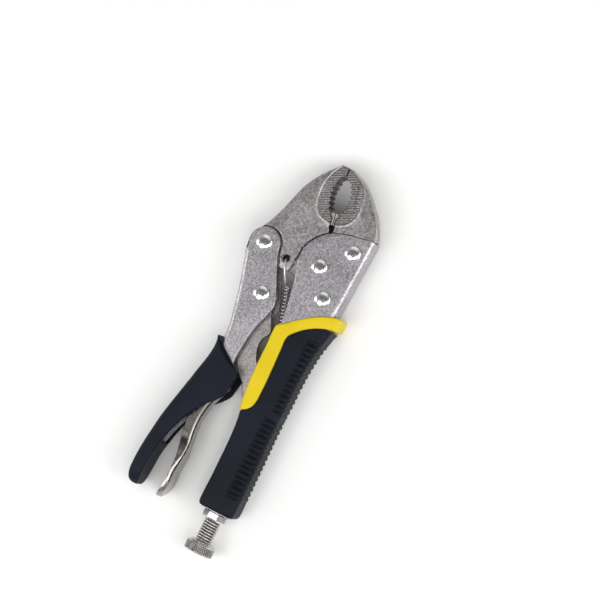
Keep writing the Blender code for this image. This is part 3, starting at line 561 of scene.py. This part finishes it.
# %% Trim ribbon
TRIM_KEYS = [
    (-72.3, 3.1, -72.0, 2.4), (-71.6, 3.6, -71.2, 0.9), (-69.8, 4.0, -69.6, -0.7), (-67.0, 4.4, -67.2, -1.6),
    (-61.0, 5.0, -61.0, -2.0), (-50.0, 5.5, -50.0, -1.75), (-40.0, 5.6, -40.0, -1.3),
    (-34.6, 5.8, -35.6, -1.1), (-31.6, 5.5, -33.4, -1.6), (-29.7, 3.0, -31.2, -3.4),
    (-27.2, 0.2, -29.3, -5.3), (-24.4, -3.3, -27.3, -7.8), (-21.2, -7.8, -25.3, -11.2),
    (-18.8, -12.4, -23.8, -14.8), (-17.3, -16.2, -23.0, -17.2), (-16.9, -18.0, -22.8, -18.2)]
TRIM_BACK_Y = -20.3
TRIM_INNER = PLATE_OUT + 0.05


def trim_path():
    """Edge curves of the near half: over the flat, round the bend of the back, to its middle."""
    flat = through(TRIM_KEYS, 200)
    bend = 2.4
    angle = np.radians(np.linspace(0, 90, 16))[1:]
    left, right = [np.column_stack([flat[:, k:k + 2], np.full(len(flat), TRIM_OUT)]) for k in (0, 2)]
    normal = np.tile([0.0, 0.0, 1.0], (len(flat), 1))
    turn_y = TRIM_BACK_Y + bend - bend * np.sin(angle)
    turn_z = TRIM_OUT - bend + bend * np.cos(angle)
    turn_n = np.column_stack([0 * angle, -np.sin(angle), np.cos(angle)])
    rest_z = np.linspace(turn_z[-1], 0.0, 12)[1:]
    rest_n = np.tile([0.0, -1.0, 0.0], (len(rest_z), 1))

    def carry(edge):
        x = edge[-1, 0]
        turn = np.column_stack([np.full(len(angle), x), turn_y, turn_z])
        rest = np.column_stack([np.full(len(rest_z), x), np.full(len(rest_z), TRIM_BACK_Y), rest_z])
        return np.vstack([edge, turn, rest])

    return carry(left), carry(right), np.vstack([normal, turn_n, rest_n])


def ribbon(name, left, right, normal, thickness, soft):
    """Rounded rectangle between two edge curves, hung below the surface by its thickness."""
    width = np.linalg.norm(right - left, axis=1)
    across = (right - left) / width[:, None]
    radius = np.minimum(soft, 0.45 * width)
    u, h = [], []
    for right_side, top, first in ((1, 1, 0), (0, 1, 90), (0, 0, 180), (1, 0, 270)):
        r = (radius if top else 0.3 * radius)[:, None]
        angle = np.radians(np.linspace(first, first + 90, 7))[None, :]
        u.append(width[:, None] * right_side + (1 - 2 * right_side) * r + r * np.cos(angle))
        h.append(-thickness * (1 - top) + (1 - 2 * top) * r + r * np.sin(angle))
    u, h = np.concatenate(u, axis=1), np.concatenate(h, axis=1)
    crown = 0.12 * (1 - (2 * u / width[:, None] - 1) ** 2) * (h > -0.5 * thickness)
    lift = (h + crown - 0.12)[..., None]
    grid = left[:, None, :] + across[:, None, :] * u[..., None] + normal[:, None, :] * lift
    return solid_from_grid(name, grid)


left, right, normal = trim_path()
mirror = np.array([1.0, 1.0, -1.0])
left, right, normal = [np.vstack([part, part[-2::-1] * mirror]) for part in (left, right, normal)]
trim = ribbon("fixed_grip_trim_band", left, right, normal, TRIM_OUT - TRIM_INNER, 0.9)
finish_piece(trim, "fixed_side", YELLOW_PVC, "trim_rubber", "fixed_grip_trim")

# %% [markdown]
# ## Forged jaws and the link
# A forging is flat faced, with rounded edges, steps where the side plates cover it and
# a coined panel beside the teeth. Each face is a sheet of lines ruled between the
# mouth's edge and the outer edge, and its height is a function of where a point lies:
# distance to the edges, to the panel's outline and to the pivots.

# %% Distance to an outline
def signed_distance(points, outline):
    """Distance to a closed outline, negative inside. Works on an array of points."""
    outline = np.asarray(outline, float)
    start, end = outline, np.roll(outline, -1, axis=0)
    flat = points.reshape(-1, 2)
    best = np.full(len(flat), 1e9)
    inside = np.zeros(len(flat), bool)
    for a, b in zip(start, end):
        edge = b - a
        t = np.clip(((flat - a) @ edge) / (edge @ edge), 0.0, 1.0)
        best = np.minimum(best, np.linalg.norm(flat - (a + t[:, None] * edge), axis=1))
        crosses = ((a[1] > flat[:, 1]) != (b[1] > flat[:, 1]))
        meets = edge[0] * (flat[:, 1] - a[1]) / (edge[1] if edge[1] else 1e-9) + a[0]
        inside ^= crosses & (flat[:, 0] < meets)
    return np.where(inside, -best, best).reshape(points.shape[:-1])


def ruled_slab(name, lower, upper, columns, level, edge_radius, ends=(True, True)):
    """Two-sided slab ruled between two curves, both faces at height level(x, y).

    Lines crowd towards the edges, where the height falls along a quarter circle of
    edge_radius. The near and far faces are mirror images joined by a wall. level gives
    the height and the groove value.
    """
    v = 0.5 * (1 - np.cos(np.linspace(0, np.pi, columns)))
    points = lower[:, None, :] * (1 - v)[None, :, None] + upper[:, None, :] * v[None, :, None]
    span = np.linalg.norm(upper - lower, axis=1)[:, None]
    inward = np.minimum(span * v[None, :], span * (1 - v)[None, :])
    middle = 0.5 * (lower + upper)
    along = np.concatenate([[0.0], np.cumsum(np.linalg.norm(np.diff(middle, axis=0), axis=1))])
    if ends[0]:
        inward = np.minimum(inward, along[:, None])
    if ends[1]:
        inward = np.minimum(inward, (along[-1] - along)[:, None])
    short = np.clip(edge_radius - inward, 0.0, edge_radius)
    drop = edge_radius - np.sqrt(np.maximum(edge_radius ** 2 - short ** 2, 0.0))
    height, groove = level(points, inward)
    height = height - drop
    near = np.concatenate([points, height[..., None]], axis=-1)
    far = near * np.array([1.0, 1.0, -1.0])
    rows, cols = height.shape
    size = rows * cols
    i, j = np.meshgrid(np.arange(rows - 1), np.arange(cols - 1), indexing="ij")
    quad = np.stack([i * cols + j, i * cols + j + 1, (i + 1) * cols + j + 1, (i + 1) * cols + j],
                    axis=-1).reshape(-1, 4)
    index = np.arange(size).reshape(rows, cols)
    rim = np.concatenate([index[:, 0], index[-1, 1:], index[-2::-1, -1], index[0, -2:0:-1]])
    nxt = np.roll(rim, -1)
    wall = np.stack([rim, nxt, nxt + size, rim + size], axis=-1)
    faces = np.concatenate([quad, quad[:, ::-1] + size, wall]).tolist()
    verts = ORIGIN + np.concatenate([near.reshape(-1, 3), far.reshape(-1, 3)]) * 0.001
    return solid(name, verts, faces, 38.0, np.concatenate([groove.ravel(), groove.ravel()]))


# %% Teeth along a mouth edge
TOOTH_PITCH = 2.3
TOOTH_DEPTH = 1.05


def toothed(first, last, bow, outward, per_tooth=12):
    """Saw teeth on a shallow arc: a parabola between two points plus a skewed triangle wave."""
    first, last = np.array(first), np.array(last)
    length = np.linalg.norm(last - first)
    count = int(round(length / TOOTH_PITCH))
    t = np.linspace(0, 1, count * per_tooth + 1)
    side = np.array([-(last - first)[1], (last - first)[0]]) / length * outward
    phase = (t * count) % 1.0
    wave = np.where(phase < 0.55, phase / 0.55, (1 - phase) / 0.45)
    wave = smoothstep(wave, -0.15, 1.1) * TOOTH_DEPTH
    return first + (last - first) * t[:, None] + side * (bow * 4 * t * (1 - t) + wave)[:, None]


def fence(panel_distance, points, slope=0.5, pitch=1.2):
    """Coined panel: 0.35 mm sunk inside its outline, with cross ridges, and a raised lip round it.

    Returns the height and a darkening value that is high deep in a valley and just inside the panel's edge:
    partly dirt in the valleys, partly painted shade, and a painted shadow line along the edge.
    """
    sunk = 1 - smoothstep(panel_distance, -0.4, 0.0)
    inner = 1 - smoothstep(panel_distance, -0.8, -0.3)
    ridge = 0.5 + 0.5 * np.cos(2 * np.pi * (points[..., 0] + slope * points[..., 1]) / pitch)
    lip = np.exp(-((panel_distance - 0.4) / 0.3) ** 2)
    edge = np.exp(-((panel_distance + 0.35) / 0.25) ** 2)
    return -0.38 * sunk + 0.34 * ridge * inner + 0.2 * lip, 0.6 * (1 - ridge) * inner + 0.5 * edge


# The two ground cutting blades together show as a small mushroom.
BLADES = through([(24.7, 2.9), (24.9, 4.7), (24.5, 6.3), (23.4, 6.2), (22.6, 5.2), (21.0, 4.75),
                  (19.2, 4.4), (17.8, 4.3), (17.8, 2.7), (19.2, 2.8), (21.2, 3.3), (22.7, 3.3), (23.5, 2.6),
                  (24.7, 2.9)], 60)[:-1]


def with_blade(points, height, groove):
    """Lowers a jaw's face to the smooth ground blades beside the cutting line."""
    distance = signed_distance(points, BLADES)
    inside = 1 - smoothstep(distance, -0.12, 0.1)
    # A painted shadow line darkens the face just outside the blades, where it steps down to them.
    edge = 0.9 * np.exp(-((distance - 0.25) / 0.3) ** 2)
    return height * (1 - inside) + (JAW_HALF - 0.6) * inside, np.clip(groove * (1 - inside) + edge, 0, 1)


# %% Moving jaw
mouth = toothed((40.4, 9.2), (24.6, 7.2), 1.6, -1)
lower = np.vstack([evenly([(45.7, 8.2), (41.6, 7.9), (40.8, 8.5)], 24), mouth,
                   evenly([(24.7, 6.4), (24.85, 4.8), (22.5, 4.3), (19.3, 3.66), (19.25, 4.9), (15.4, 3.4),
                           (8.6, 1.2)], 90), arc(JAW_PIVOT, 8.5, 8, -150, 60),
                           evenly([(-7.4, -4.2), (-7.4, 8.4)], 30)])
upper_keys = [(45.6, 11.9), (44.2, 12.9), (40.9, 15.8), (37.5, 18.5), (33.4, 21.1), (29.5, 23.1),
              (25.5, 24.55), (21.4, 25.7), (15.9, 27.4), (10.5, 29.4), (6.8, 31.2), (4.6, 32.8)]
upper = np.vstack([through(upper_keys, 240), arc(HANDLE_PIVOT, 7.2, 50, 186, 70),
                   evenly([(-8.0, 24.5), (-7.5, 17.5)], 30)])
JAW_ROWS = 520
# Lines that start on the mouth end on the outer edge across from it; those from the hub end on the ear.
MATCH_LOWER = np.array([0.0, 0.10, 0.36, 0.52, 0.80, 1.0])
MATCH_UPPER = np.array([0.0, 0.10, 0.38, 0.50, 0.72, 1.0])


def matched(curve, shares, rows):
    """Resamples a curve so that the listed shares of its length fall at equal shares of the rows."""
    even = evenly(curve, 4000)
    knots = np.linspace(0, 1, len(shares))
    wanted = np.interp(np.linspace(0, 1, rows), knots, shares)
    at = wanted * (len(even) - 1)
    return np.column_stack([np.interp(at, np.arange(len(even)), even[:, k]) for k in (0, 1)])


MOVABLE_PANEL = np.vstack([[(45.3, 7.0), (45.3, 11.2)],
                           through([(42.0, 13.2), (38.6, 14.7), (31.8, 15.5), (27.3, 14.8), (23.2, 12.7),
                                    (20.9, 10.0), (20.0, 6.4)], 40), [(19.8, 2.0), (30.0, 2.0)]])
HUB_STEP = np.vstack([through([(-20.0, 13.8), (-7.4, 12.2), (-1.6, 11.6), (2.0, 11.5), (5.0, 11.05),
                               (7.9, 9.95), (11.0, 8.1), (14.6, 4.8), (16.9, 2.0), (18.9, -5.0)], 60),
                               [(20.0, -20.0), (-20.0, -20.0)]])
EAR_STEP = np.vstack([[(-30.0, 40.0), (-30.0, 8.0), (-9.0, 16.6), (0.0, 20.0)],
                      arc(HANDLE_PIVOT, 7.9, -70, 90)])


def movable_level(points, inward):
    """Full thickness, thin under both pairs of plates, with the panel and a soft fall to the throat."""
    hub = 1 - smoothstep(signed_distance(points, HUB_STEP), -0.2, 0.15)
    ear = 1 - smoothstep(signed_distance(points, EAR_STEP), -0.35, 0.15)
    panel, groove = fence(signed_distance(points, MOVABLE_PANEL), points)
    throat = np.exp(-np.sum((points - np.array([17.0, 4.0])) ** 2, axis=-1) / 9.0)
    crest = 0.3 * (1 - smoothstep(inward, 0.0, 5.0)) * (points[..., 1] > 12.0)
    thin = np.maximum(hub, ear)
    height = JAW_HALF - 0.1 - (JAW_HALF - TANG_HALF) * thin + (panel - 0.5 * throat - crest) * (1 - thin)
    return with_blade(points, height, groove * (1 - thin))


movable_jaw = ruled_slab("movable_jaw_forging", matched(lower, MATCH_LOWER, JAW_ROWS),
                         matched(upper, MATCH_UPPER, JAW_ROWS), 84, movable_level, 0.6)

# %% The spring's hole in the moving jaw
def drilled(piece, centre, radius, low, high):
    """Cuts a round hole from z = low to z = high, then keeps the evaluated mesh."""
    ring = arc(centre, radius, 0, 360, 49)[:-1]
    grid = np.stack([np.column_stack([ring, np.full(48, z)]) for z in (low, high)])
    # The cutter's groove value of 0.75 passes to the hole's wall and darkens it as painted shade.
    cutter = solid_from_grid("cutter", grid, groove=np.full(grid.shape[:2], 0.75))
    change = piece.modifiers.new("hole", "BOOLEAN")
    change.object = cutter
    change.operation = "DIFFERENCE"
    mesh = bpy.data.meshes.new_from_object(piece.evaluated_get(bpy.context.evaluated_depsgraph_get()))
    piece.modifiers.clear()
    piece.data = mesh
    bpy.data.objects.remove(cutter)
    mesh.shade_smooth()
    mesh.set_sharp_from_angle(angle=radians(38))


SPRING_HOLE = (-2.8, 15.9)
HOLE_R = 1.7
HOLE_MOUTH_R = 2.25
HOLE_MOUTH_DEPTH = 1.7
BEYOND = 9.0
drilled(movable_jaw, SPRING_HOLE, HOLE_R, -BEYOND, BEYOND)
drilled(movable_jaw, SPRING_HOLE, HOLE_MOUTH_R, JAW_HALF - HOLE_MOUTH_DEPTH, BEYOND)
drilled(movable_jaw, SPRING_HOLE, HOLE_MOUTH_R, -BEYOND, HOLE_MOUTH_DEPTH - JAW_HALF)
finish_piece(movable_jaw, "jaw", FORGED, "jaw_steel", "movable_jaw")

# %% Fixed jaw
mouth = toothed((40.2, 5.6), (24.9, 2.6), 2.1, 1)
upper = np.vstack([evenly([(45.6, 7.7), (41.5, 7.4), (40.7, 6.5)], 24), mouth,
                   evenly([(24.7, 3.0), (24.9, 4.7), (22.5, 4.2), (19.3, 3.54), (19.2, 2.1), (15.2, 1.9),
                           (9.1, 0.5)], 80), arc(JAW_PIVOT, 9.0, 0, -152, 60),
                           evenly([(-10.4, -2.8), (-16.0, -3.2)], 20)])
lower_keys = [(45.7, 6.2), (44.6, 3.6), (42.0, -1.5), (39.1, -4.9), (35.0, -9.0), (31.4, -12.1),
              (27.3, -14.8), (23.6, -16.6), (20.9, -17.6)]
lower = np.vstack([through(lower_keys, 200),
                   evenly([(20.6, -16.3), (0.0, -15.35), (-14.0, -14.7), (-17.4, -14.0)], 120)])
FIXED_PANEL = np.vstack([[(45.2, 8.5), (45.0, 5.6)],
                         through([(43.4, 2.2), (39.6, -2.2), (33.2, -4.1), (29.5, -4.6), (25.0, -3.6),
                                  (22.3, -1.8), (20.6, 0.8)], 40), [(19.9, 2.9), (20.0, 9.0)]])
FIXED_WAIST = [(20.55, -30.0), (20.1, -13.0), (18.7, -5.0), (16.7, 1.5), (14.4, 4.2), (10.8, 7.5),
               (0.0, 20.0), (-40.0, 20.0), (-40.0, -30.0)]
MATCH_FIXED_UPPER = np.array([0.0, 0.12, 0.38, 0.56, 0.80, 1.0])
MATCH_FIXED_LOWER = np.array([0.0, 0.12, 0.34, 0.46, 0.70, 1.0])


def fixed_level(points, inward):
    """Full thickness in front of the plates, tang behind, with the panel beside the teeth."""
    waist = 1 - smoothstep(signed_distance(points, FIXED_WAIST), -0.15, 0.05)
    panel, groove = fence(signed_distance(points, FIXED_PANEL), points)
    crest = 0.9 * (1 - smoothstep(inward, 0.0, 7.0)) * (points[..., 1] < -4.5 + 0.25 * (points[..., 0] - 20))
    height = JAW_HALF - 0.1 - (JAW_HALF - TANG_HALF) * waist + (panel - crest) * (1 - waist)
    return with_blade(points, height, groove * (1 - waist))


fixed_jaw = ruled_slab("fixed_jaw_forging", matched(upper, MATCH_FIXED_UPPER, JAW_ROWS),
                       matched(lower, MATCH_FIXED_LOWER, JAW_ROWS), 84, fixed_level, 0.6)
finish_piece(fixed_jaw, "fixed_side", FORGED, "jaw_steel", "fixed_jaw")

# %% Toggle link
link_upper = np.vstack([arc((-84.0, AXIS_Y), 2.6, 195, 110, 24),
                        through([(-80.0, -3.0), (-76.0, -0.8), (-71.6, 0.8), (-70.4, 4.0), (-68.4, 5.7),
                                 (-64.4, 7.9), (-61.0, 9.7), (-59.7, 11.4), (-56.0, 14.8), (-50.0, 17.6),
                                 (-40.0, 20.2), (-29.0, 23.0)], 260), arc(LINK_PIVOT, 6.4, 135, 10, 30)])
link_lower = np.vstack([arc((-84.0, AXIS_Y), 2.6, 195, 290, 24),
                        through([(-80.0, -7.6), (-70.0, -4.2), (-61.0, 0.4), (-54.0, 4.4), (-50.0, 7.6),
                                 (-46.0, 9.4), (-42.5, 10.1), (-39.3, 9.6), (-37.2, 8.1), (-35.6, 7.7),
                                 (-33.6, 8.4), (-28.0, 11.3), (-24.5, 12.5)], 260),
                                 arc(LINK_PIVOT, 6.4, -110, 8, 30)])
LINK_HALF = 2.0


def link_level(points, inward):
    """A plain plate: the same half thickness everywhere, and no grooves."""
    return np.full(inward.shape, LINK_HALF), 0 * inward


link = ruled_slab("toggle_link_plate", evenly(link_lower, 420), evenly(link_upper, 420), 40, link_level, 0.35)
finish_piece(link, "link", LINK_STEEL, "link_steel", "toggle_link")

# %% [markdown]
# ## Turned pieces
# Rivets, the bush and the knob are profiles turned about an axis, and the screw is a
# cylinder whose radius rises and falls along a helix.

# %% Lathe
def turned(name, profile, axis, place, around=96, ripple=None, sharp=32.0):
    """Profile rows (along, radius) turned about an axis through place.

    axis is "z" for rivets, or "x" for pieces on the screw's axis. ripple(along, angle)
    gives what is added to the radius, and the groove value.
    """
    profile = np.asarray(profile, float)
    angle = np.linspace(0, 2 * np.pi, around, endpoint=False)[None, :]
    along = np.repeat(profile[:, :1], around, axis=1)
    change, groove = (0 * along, None) if ripple is None else ripple(along, angle)
    radius = profile[:, 1:2] + change
    a, b = radius * np.cos(angle), radius * np.sin(angle)
    grid = np.stack([a, b, along] if axis == "z" else [along, a, b], axis=-1) + np.asarray(place)
    return solid_from_grid(name, grid, sharp, groove)


# %% Rivets
HEAD_R = 3.75
HEAD_RISE = half_width("jaw_pivot_rivet") - PLATE_OUT - 0.05


def rivet(name, centre, body, node):
    """Button head at both ends: a short straight rim, then a flattened dome."""
    angle = np.radians(np.linspace(0, 88, 20))
    dome = np.column_stack([PLATE_OUT + 0.3 + (HEAD_RISE - 0.3) * np.sin(angle),
                            HEAD_R * np.cos(angle) ** 0.8])
    top = np.vstack([[(0.0, 2.2), (PLATE_OUT - 0.3, 2.2), (PLATE_OUT - 0.02, 2.3),
                      (PLATE_OUT - 0.02, HEAD_R - 0.12)], dome, [(PLATE_OUT + HEAD_RISE, 0.02)]])
    both = np.vstack([top[:0:-1] * np.array([-1.0, 1.0]), top[1:]])
    piece = turned(name, both, "z", (centre[0], centre[1], 0.0))
    return finish_piece(piece, body, RIVET, "rivet_steel", node)


for node, body in (("jaw_pivot_rivet", "fixed_side"), ("fixed_jaw_front_rivet", "fixed_side"),
                   ("fixed_jaw_rear_rivet", "fixed_side"),
                   ("handle_pivot_rivet", "jaw"), ("link_pivot_rivet", "handle")):
    low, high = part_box(node)
    centre = in_layout((np.array(low) + np.array(high)) / 2)
    rivet(node + "_head", centre, body, node)

pin = frame["nodes"]["lever_pin"]
pin.data.materials.clear()
pin.data.materials.append(RIVET)

# %% Bush, screw and knob
BUSH_FRONT = -118.7
BUSH_REAR = -122.4
KNOB_FRONT = -132.8
KNOB_REAR = -138.6
KNOB_R = half_width("knurled_knob")
BUSH_R = half_width("screw_bush")
on_axis = (0.0, AXIS_Y, 0.0)

bush_profile = [(BUSH_FRONT + 0.6, 4.4), (BUSH_FRONT, 4.5), (BUSH_FRONT, BUSH_R - 0.35),
                (BUSH_FRONT - 0.3, BUSH_R - 0.05), (BUSH_REAR + 0.9, BUSH_R - 0.05),
                (BUSH_REAR + 0.35, BUSH_R - 0.45), (BUSH_REAR, BUSH_R - 1.0), (BUSH_REAR, 4.05),
                (BUSH_REAR + 0.5, 3.9)]


def bush_flats(along, angle):
    """Eight shallow flats: the radius dips between the corners of an octagon. No grooves."""
    turn = (angle + np.pi / 8) % (np.pi / 4) - np.pi / 8
    flat = (1 - (turn / (np.pi / 8)) ** 2) * np.ones_like(along)
    return -0.45 * flat, 0 * flat


bush = turned("screw_bush_nut", bush_profile, "x", on_axis, around=144, ripple=bush_flats)
finish_piece(bush, "fixed_side", BUSH_STEEL, "bush_steel", "screw_bush")

THREAD_PITCH = 1.25
THREAD_FRONT = -100.0
x = np.linspace(-89.4, KNOB_FRONT + 0.35, 560)
shank = np.column_stack([x, np.full(len(x), 3.55)])


def thread(along, angle):
    """Helical ridge: a rounded triangle wave of the distance along minus a share of the turn."""
    phase = (along / THREAD_PITCH + angle / (2 * np.pi)) % 1.0
    wave = 1 - np.abs(2 * phase - 1)
    cut = smoothstep(wave, 0.1, 0.8) - 0.5
    run = 1 - smoothstep(along, THREAD_FRONT - 1.0, THREAD_FRONT)
    run *= smoothstep(along, KNOB_FRONT - 0.2, KNOB_FRONT + 0.9)
    # The second value darkens the thread's valleys: partly oil, partly painted shade.
    return 0.75 * cut * run, 0.85 * (0.5 - cut) * run


screw = turned("adjusting_screw_thread", shank, "x", on_axis, around=64, ripple=thread, sharp=60)
finish_piece(screw, "screw", SCREW_STEEL, "screw_steel", "adjusting_screw")

knob_x = np.linspace(0.0, 1.0, 90)
length = KNOB_FRONT - KNOB_REAR
knob_profile = [(KNOB_FRONT, 3.0), (KNOB_FRONT, 4.4)]
knob_profile += [(KNOB_FRONT - length * s,
                  KNOB_R - 0.1 - (KNOB_R - 4.6) * (1 - min(1.0, s / 0.3)) ** 1.3) for s in knob_x if s < 0.93]
knob_profile += [(KNOB_REAR + 0.4, KNOB_R - 0.15), (KNOB_REAR + 0.12, KNOB_R - 0.5),
                 (KNOB_REAR, KNOB_R - 0.9), (KNOB_REAR, 3.6), (KNOB_REAR + 0.25, 3.3),
                 (KNOB_REAR + 0.25, 0.02)]
KNURLS = 32


def diamond_knurl(along, angle):
    """Two families of crossing grooves, right and left handed, on the full-width band."""
    lead = along * KNURLS / (2 * np.pi * KNOB_R) * 2 * np.pi
    one = np.abs(np.cos(0.5 * (KNURLS * angle + lead)))
    two = np.abs(np.cos(0.5 * (KNURLS * angle - lead)))
    groove = np.maximum(smoothstep(one, 0.5, 0.95), smoothstep(two, 0.5, 0.95))
    band = smoothstep(along, KNOB_REAR + 0.5,
                      KNOB_REAR + 0.9) * (1 - smoothstep(along, KNOB_FRONT - 1.9, KNOB_FRONT - 1.5))
    # The second value darkens the knurl's grooves: partly dirt, partly painted shade.
    return -0.45 * groove * band, 0.75 * groove * band


knob = turned("knurled_knob_head", knob_profile, "x", on_axis, around=432, ripple=diamond_knurl, sharp=50)
finish_piece(knob, "knob", SCREW_STEEL, "screw_steel", "knurled_knob")

# %% [markdown]
# ## The spring
# One wire: a hook through the jaw's hole, a straight lead, a kink, a close coil and a
# tail on a lug inside the channel. A round section is carried along it, turned so that
# it never twists. It runs between the fixed side and the jaw.

# %% Spring wire
WIRE_R = 0.36
COIL_R = 1.5
COIL_FROM = np.array([-15.2, 9.7, 2.6])
COIL_TO = np.array([-40.0, 1.4, 2.6])
COIL_TURNS = 17


def spring_path():
    """Lead, helix about the line between the coil's ends, and tail."""
    axis = COIL_TO - COIL_FROM
    across = np.array([-axis[1], axis[0], 0.0]) / np.linalg.norm(axis[:2])
    turn = np.linspace(0, 2 * np.pi * COIL_TURNS, COIL_TURNS * 20)
    share = (turn / turn[-1])[:, None]
    circle = np.cos(turn)[:, None] * across + np.sin(turn)[:, None] * np.array([0, 0, 1.0])
    helix = COIL_FROM + axis * share + COIL_R * circle
    lead = through([(-2.9, 15.8, 1.0), (-2.95, 15.75, 4.6), (-3.6, 15.5, 5.9), (-5.2, 15.0, JAW_HALF + 0.5),
                    (-8.2, 13.7, JAW_HALF + 0.3), (-11.2, 12.2, 5.0), (-13.6, 11.1, 3.8),
                    (-14.1, 10.9, 3.2)], 60)
    tail = through([(-40.6, 2.9, 2.4), (-41.6, 1.8, 1.2), (-43.0, 0.2, 0.6), (-44.2, -0.6, 0.4)], 16)
    return evenly(np.vstack([lead, helix, tail]), 900)


def wire(name, path, radius, around=10):
    """Circle carried along a path; each ring's side vector is the last one made square to the wire."""
    ahead = np.gradient(path, axis=0)
    ahead /= np.linalg.norm(ahead, axis=1)[:, None]
    side = np.empty_like(path)
    last = np.array([1.0, 0.2, 0.0])
    for i, direction in enumerate(ahead):
        last = last - direction * (last @ direction)
        last = last / np.linalg.norm(last)
        side[i] = last
    up = np.cross(ahead, side)
    angle = np.linspace(0, 2 * np.pi, around, endpoint=False)
    ring = side[:, None, :] * np.cos(angle)[None, :, None] + up[:, None, :] * np.sin(angle)[None, :, None]
    return solid_from_grid(name, path[:, None, :] + radius * ring, sharp=70)


path = spring_path()
spring = wire("jaw_spring_wire", path, WIRE_R)
spring.data.materials.append(WIRE_STEEL)
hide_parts("jaw_spring")
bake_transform(spring)

# %% [markdown]
# ## Stage, light and camera
# A pale floor under three soft windows on the near side, as on a product table. A domed
# rivet mirrors them as three bright patches in its lower half. A weak broad light on
# the far side gives the dome its grey upper half, and two low strips light the bends
# and backs. The sky is darkest overhead, so that flat satin metal stays a middle grey.

# %% Stage
mesh = bpy.data.meshes.new("floor")
mesh.from_pydata([(-3, -3, 0), (3, -3, 0), (3, 3, 0), (-3, 3, 0)], [], [(0, 1, 2, 3)])
floor = bpy.data.objects.new("floor", mesh)
bpy.context.scene.collection.objects.link(floor)
made, tree, shader, place = new_material("pale_matt_table")
shader.inputs["Base Color"].default_value = linear("#F2F2F1")
shader.inputs["Roughness"].default_value = 0.8
floor.data.materials.append(made)

# Colours are shown as they are, without a film curve.
bpy.context.scene.view_settings.view_transform = "Standard"

world = bpy.data.worlds.new("studio")
bpy.context.scene.world = world
world.use_nodes = True
sky = world.node_tree
facing = add_node(sky, "ShaderNodeSeparateXYZ", {0: add_node(sky, "ShaderNodeTexCoord").outputs["Generated"]})
glow = add_node(sky, "ShaderNodeMapRange",
                {"Value": facing.outputs["Z"], "From Min": 0.55, "From Max": 0.95, "To Min": 0.45,
                 "To Max": 0.16})
sky.links.new(glow.outputs[0], sky.nodes["Background"].inputs["Strength"])
sky.nodes["Background"].inputs["Color"].default_value = linear("#FFFFFF")

# %% Camera
TILT = radians(12.0)
ROLL = radians(26.5)
DISTANCE = 1.12
FIELD = 0.2688
CENTRE = ORIGIN + np.array([-16.9, 2.7, 0.0]) * 0.001
EX, EY = np.array([1.0, 0.0, 0.0]), np.array([0.0, np.cos(TILT), np.sin(TILT)])
RIGHT = EX * np.sin(ROLL) - EY * np.cos(ROLL)
UP = EX * np.cos(ROLL) + EY * np.sin(ROLL)
BACK = np.cross(RIGHT, UP)


def place_camera():
    """Looks down, tilted towards -Y, rolled so that +X points up and to the right."""
    data = bpy.data.cameras.new("camera")
    data.sensor_width = 36.0
    data.lens = 36.0 * DISTANCE / FIELD
    data.clip_start = 0.01
    camera = bpy.data.objects.new("camera", data)
    bpy.context.scene.collection.objects.link(camera)
    turn = Matrix(np.column_stack([RIGHT, UP, BACK]).tolist()).to_4x4()
    camera.matrix_world = Matrix.Translation(Vector(CENTRE + BACK * DISTANCE)) @ turn
    bpy.context.scene.camera = camera


place_camera()


# %% Lights
def soft_light(name, clock, lean, distance, size, power, size_y=None):
    """Area light aimed at the tool: lean degrees off the view, towards a clock angle in the view.

    The clock angle is measured from the view's right, counter-clockwise.
    """
    data = bpy.data.lights.new(name, "AREA")
    data.energy = power
    data.shape = "RECTANGLE"
    data.size = size
    data.size_y = size_y or size
    lamp = bpy.data.objects.new(name, data)
    bpy.context.scene.collection.objects.link(lamp)
    around, off = radians(clock), radians(lean)
    toward = BACK * np.cos(off) + (RIGHT * np.cos(around) + UP * np.sin(around)) * np.sin(off)
    lamp.location = Vector(CENTRE + toward * distance)
    lamp.rotation_euler = Vector(-toward).to_track_quat("-Z", "Y").to_euler()


soft_light("low_window", -92, 18, 0.9, 0.38, 1.9)
soft_light("right_window", -24, 38, 0.9, 0.38, 2.8, 0.52)
soft_light("left_window", -156, 38, 0.9, 0.38, 2.8, 0.52)
soft_light("top_soft", 85, 55, 1.0, 0.9, 1.5)
soft_light("right_strip", 0, 78, 0.9, 0.4, 3.5, 0.9)
soft_light("left_strip", 170, 74, 0.9, 0.4, 2.2, 0.6)
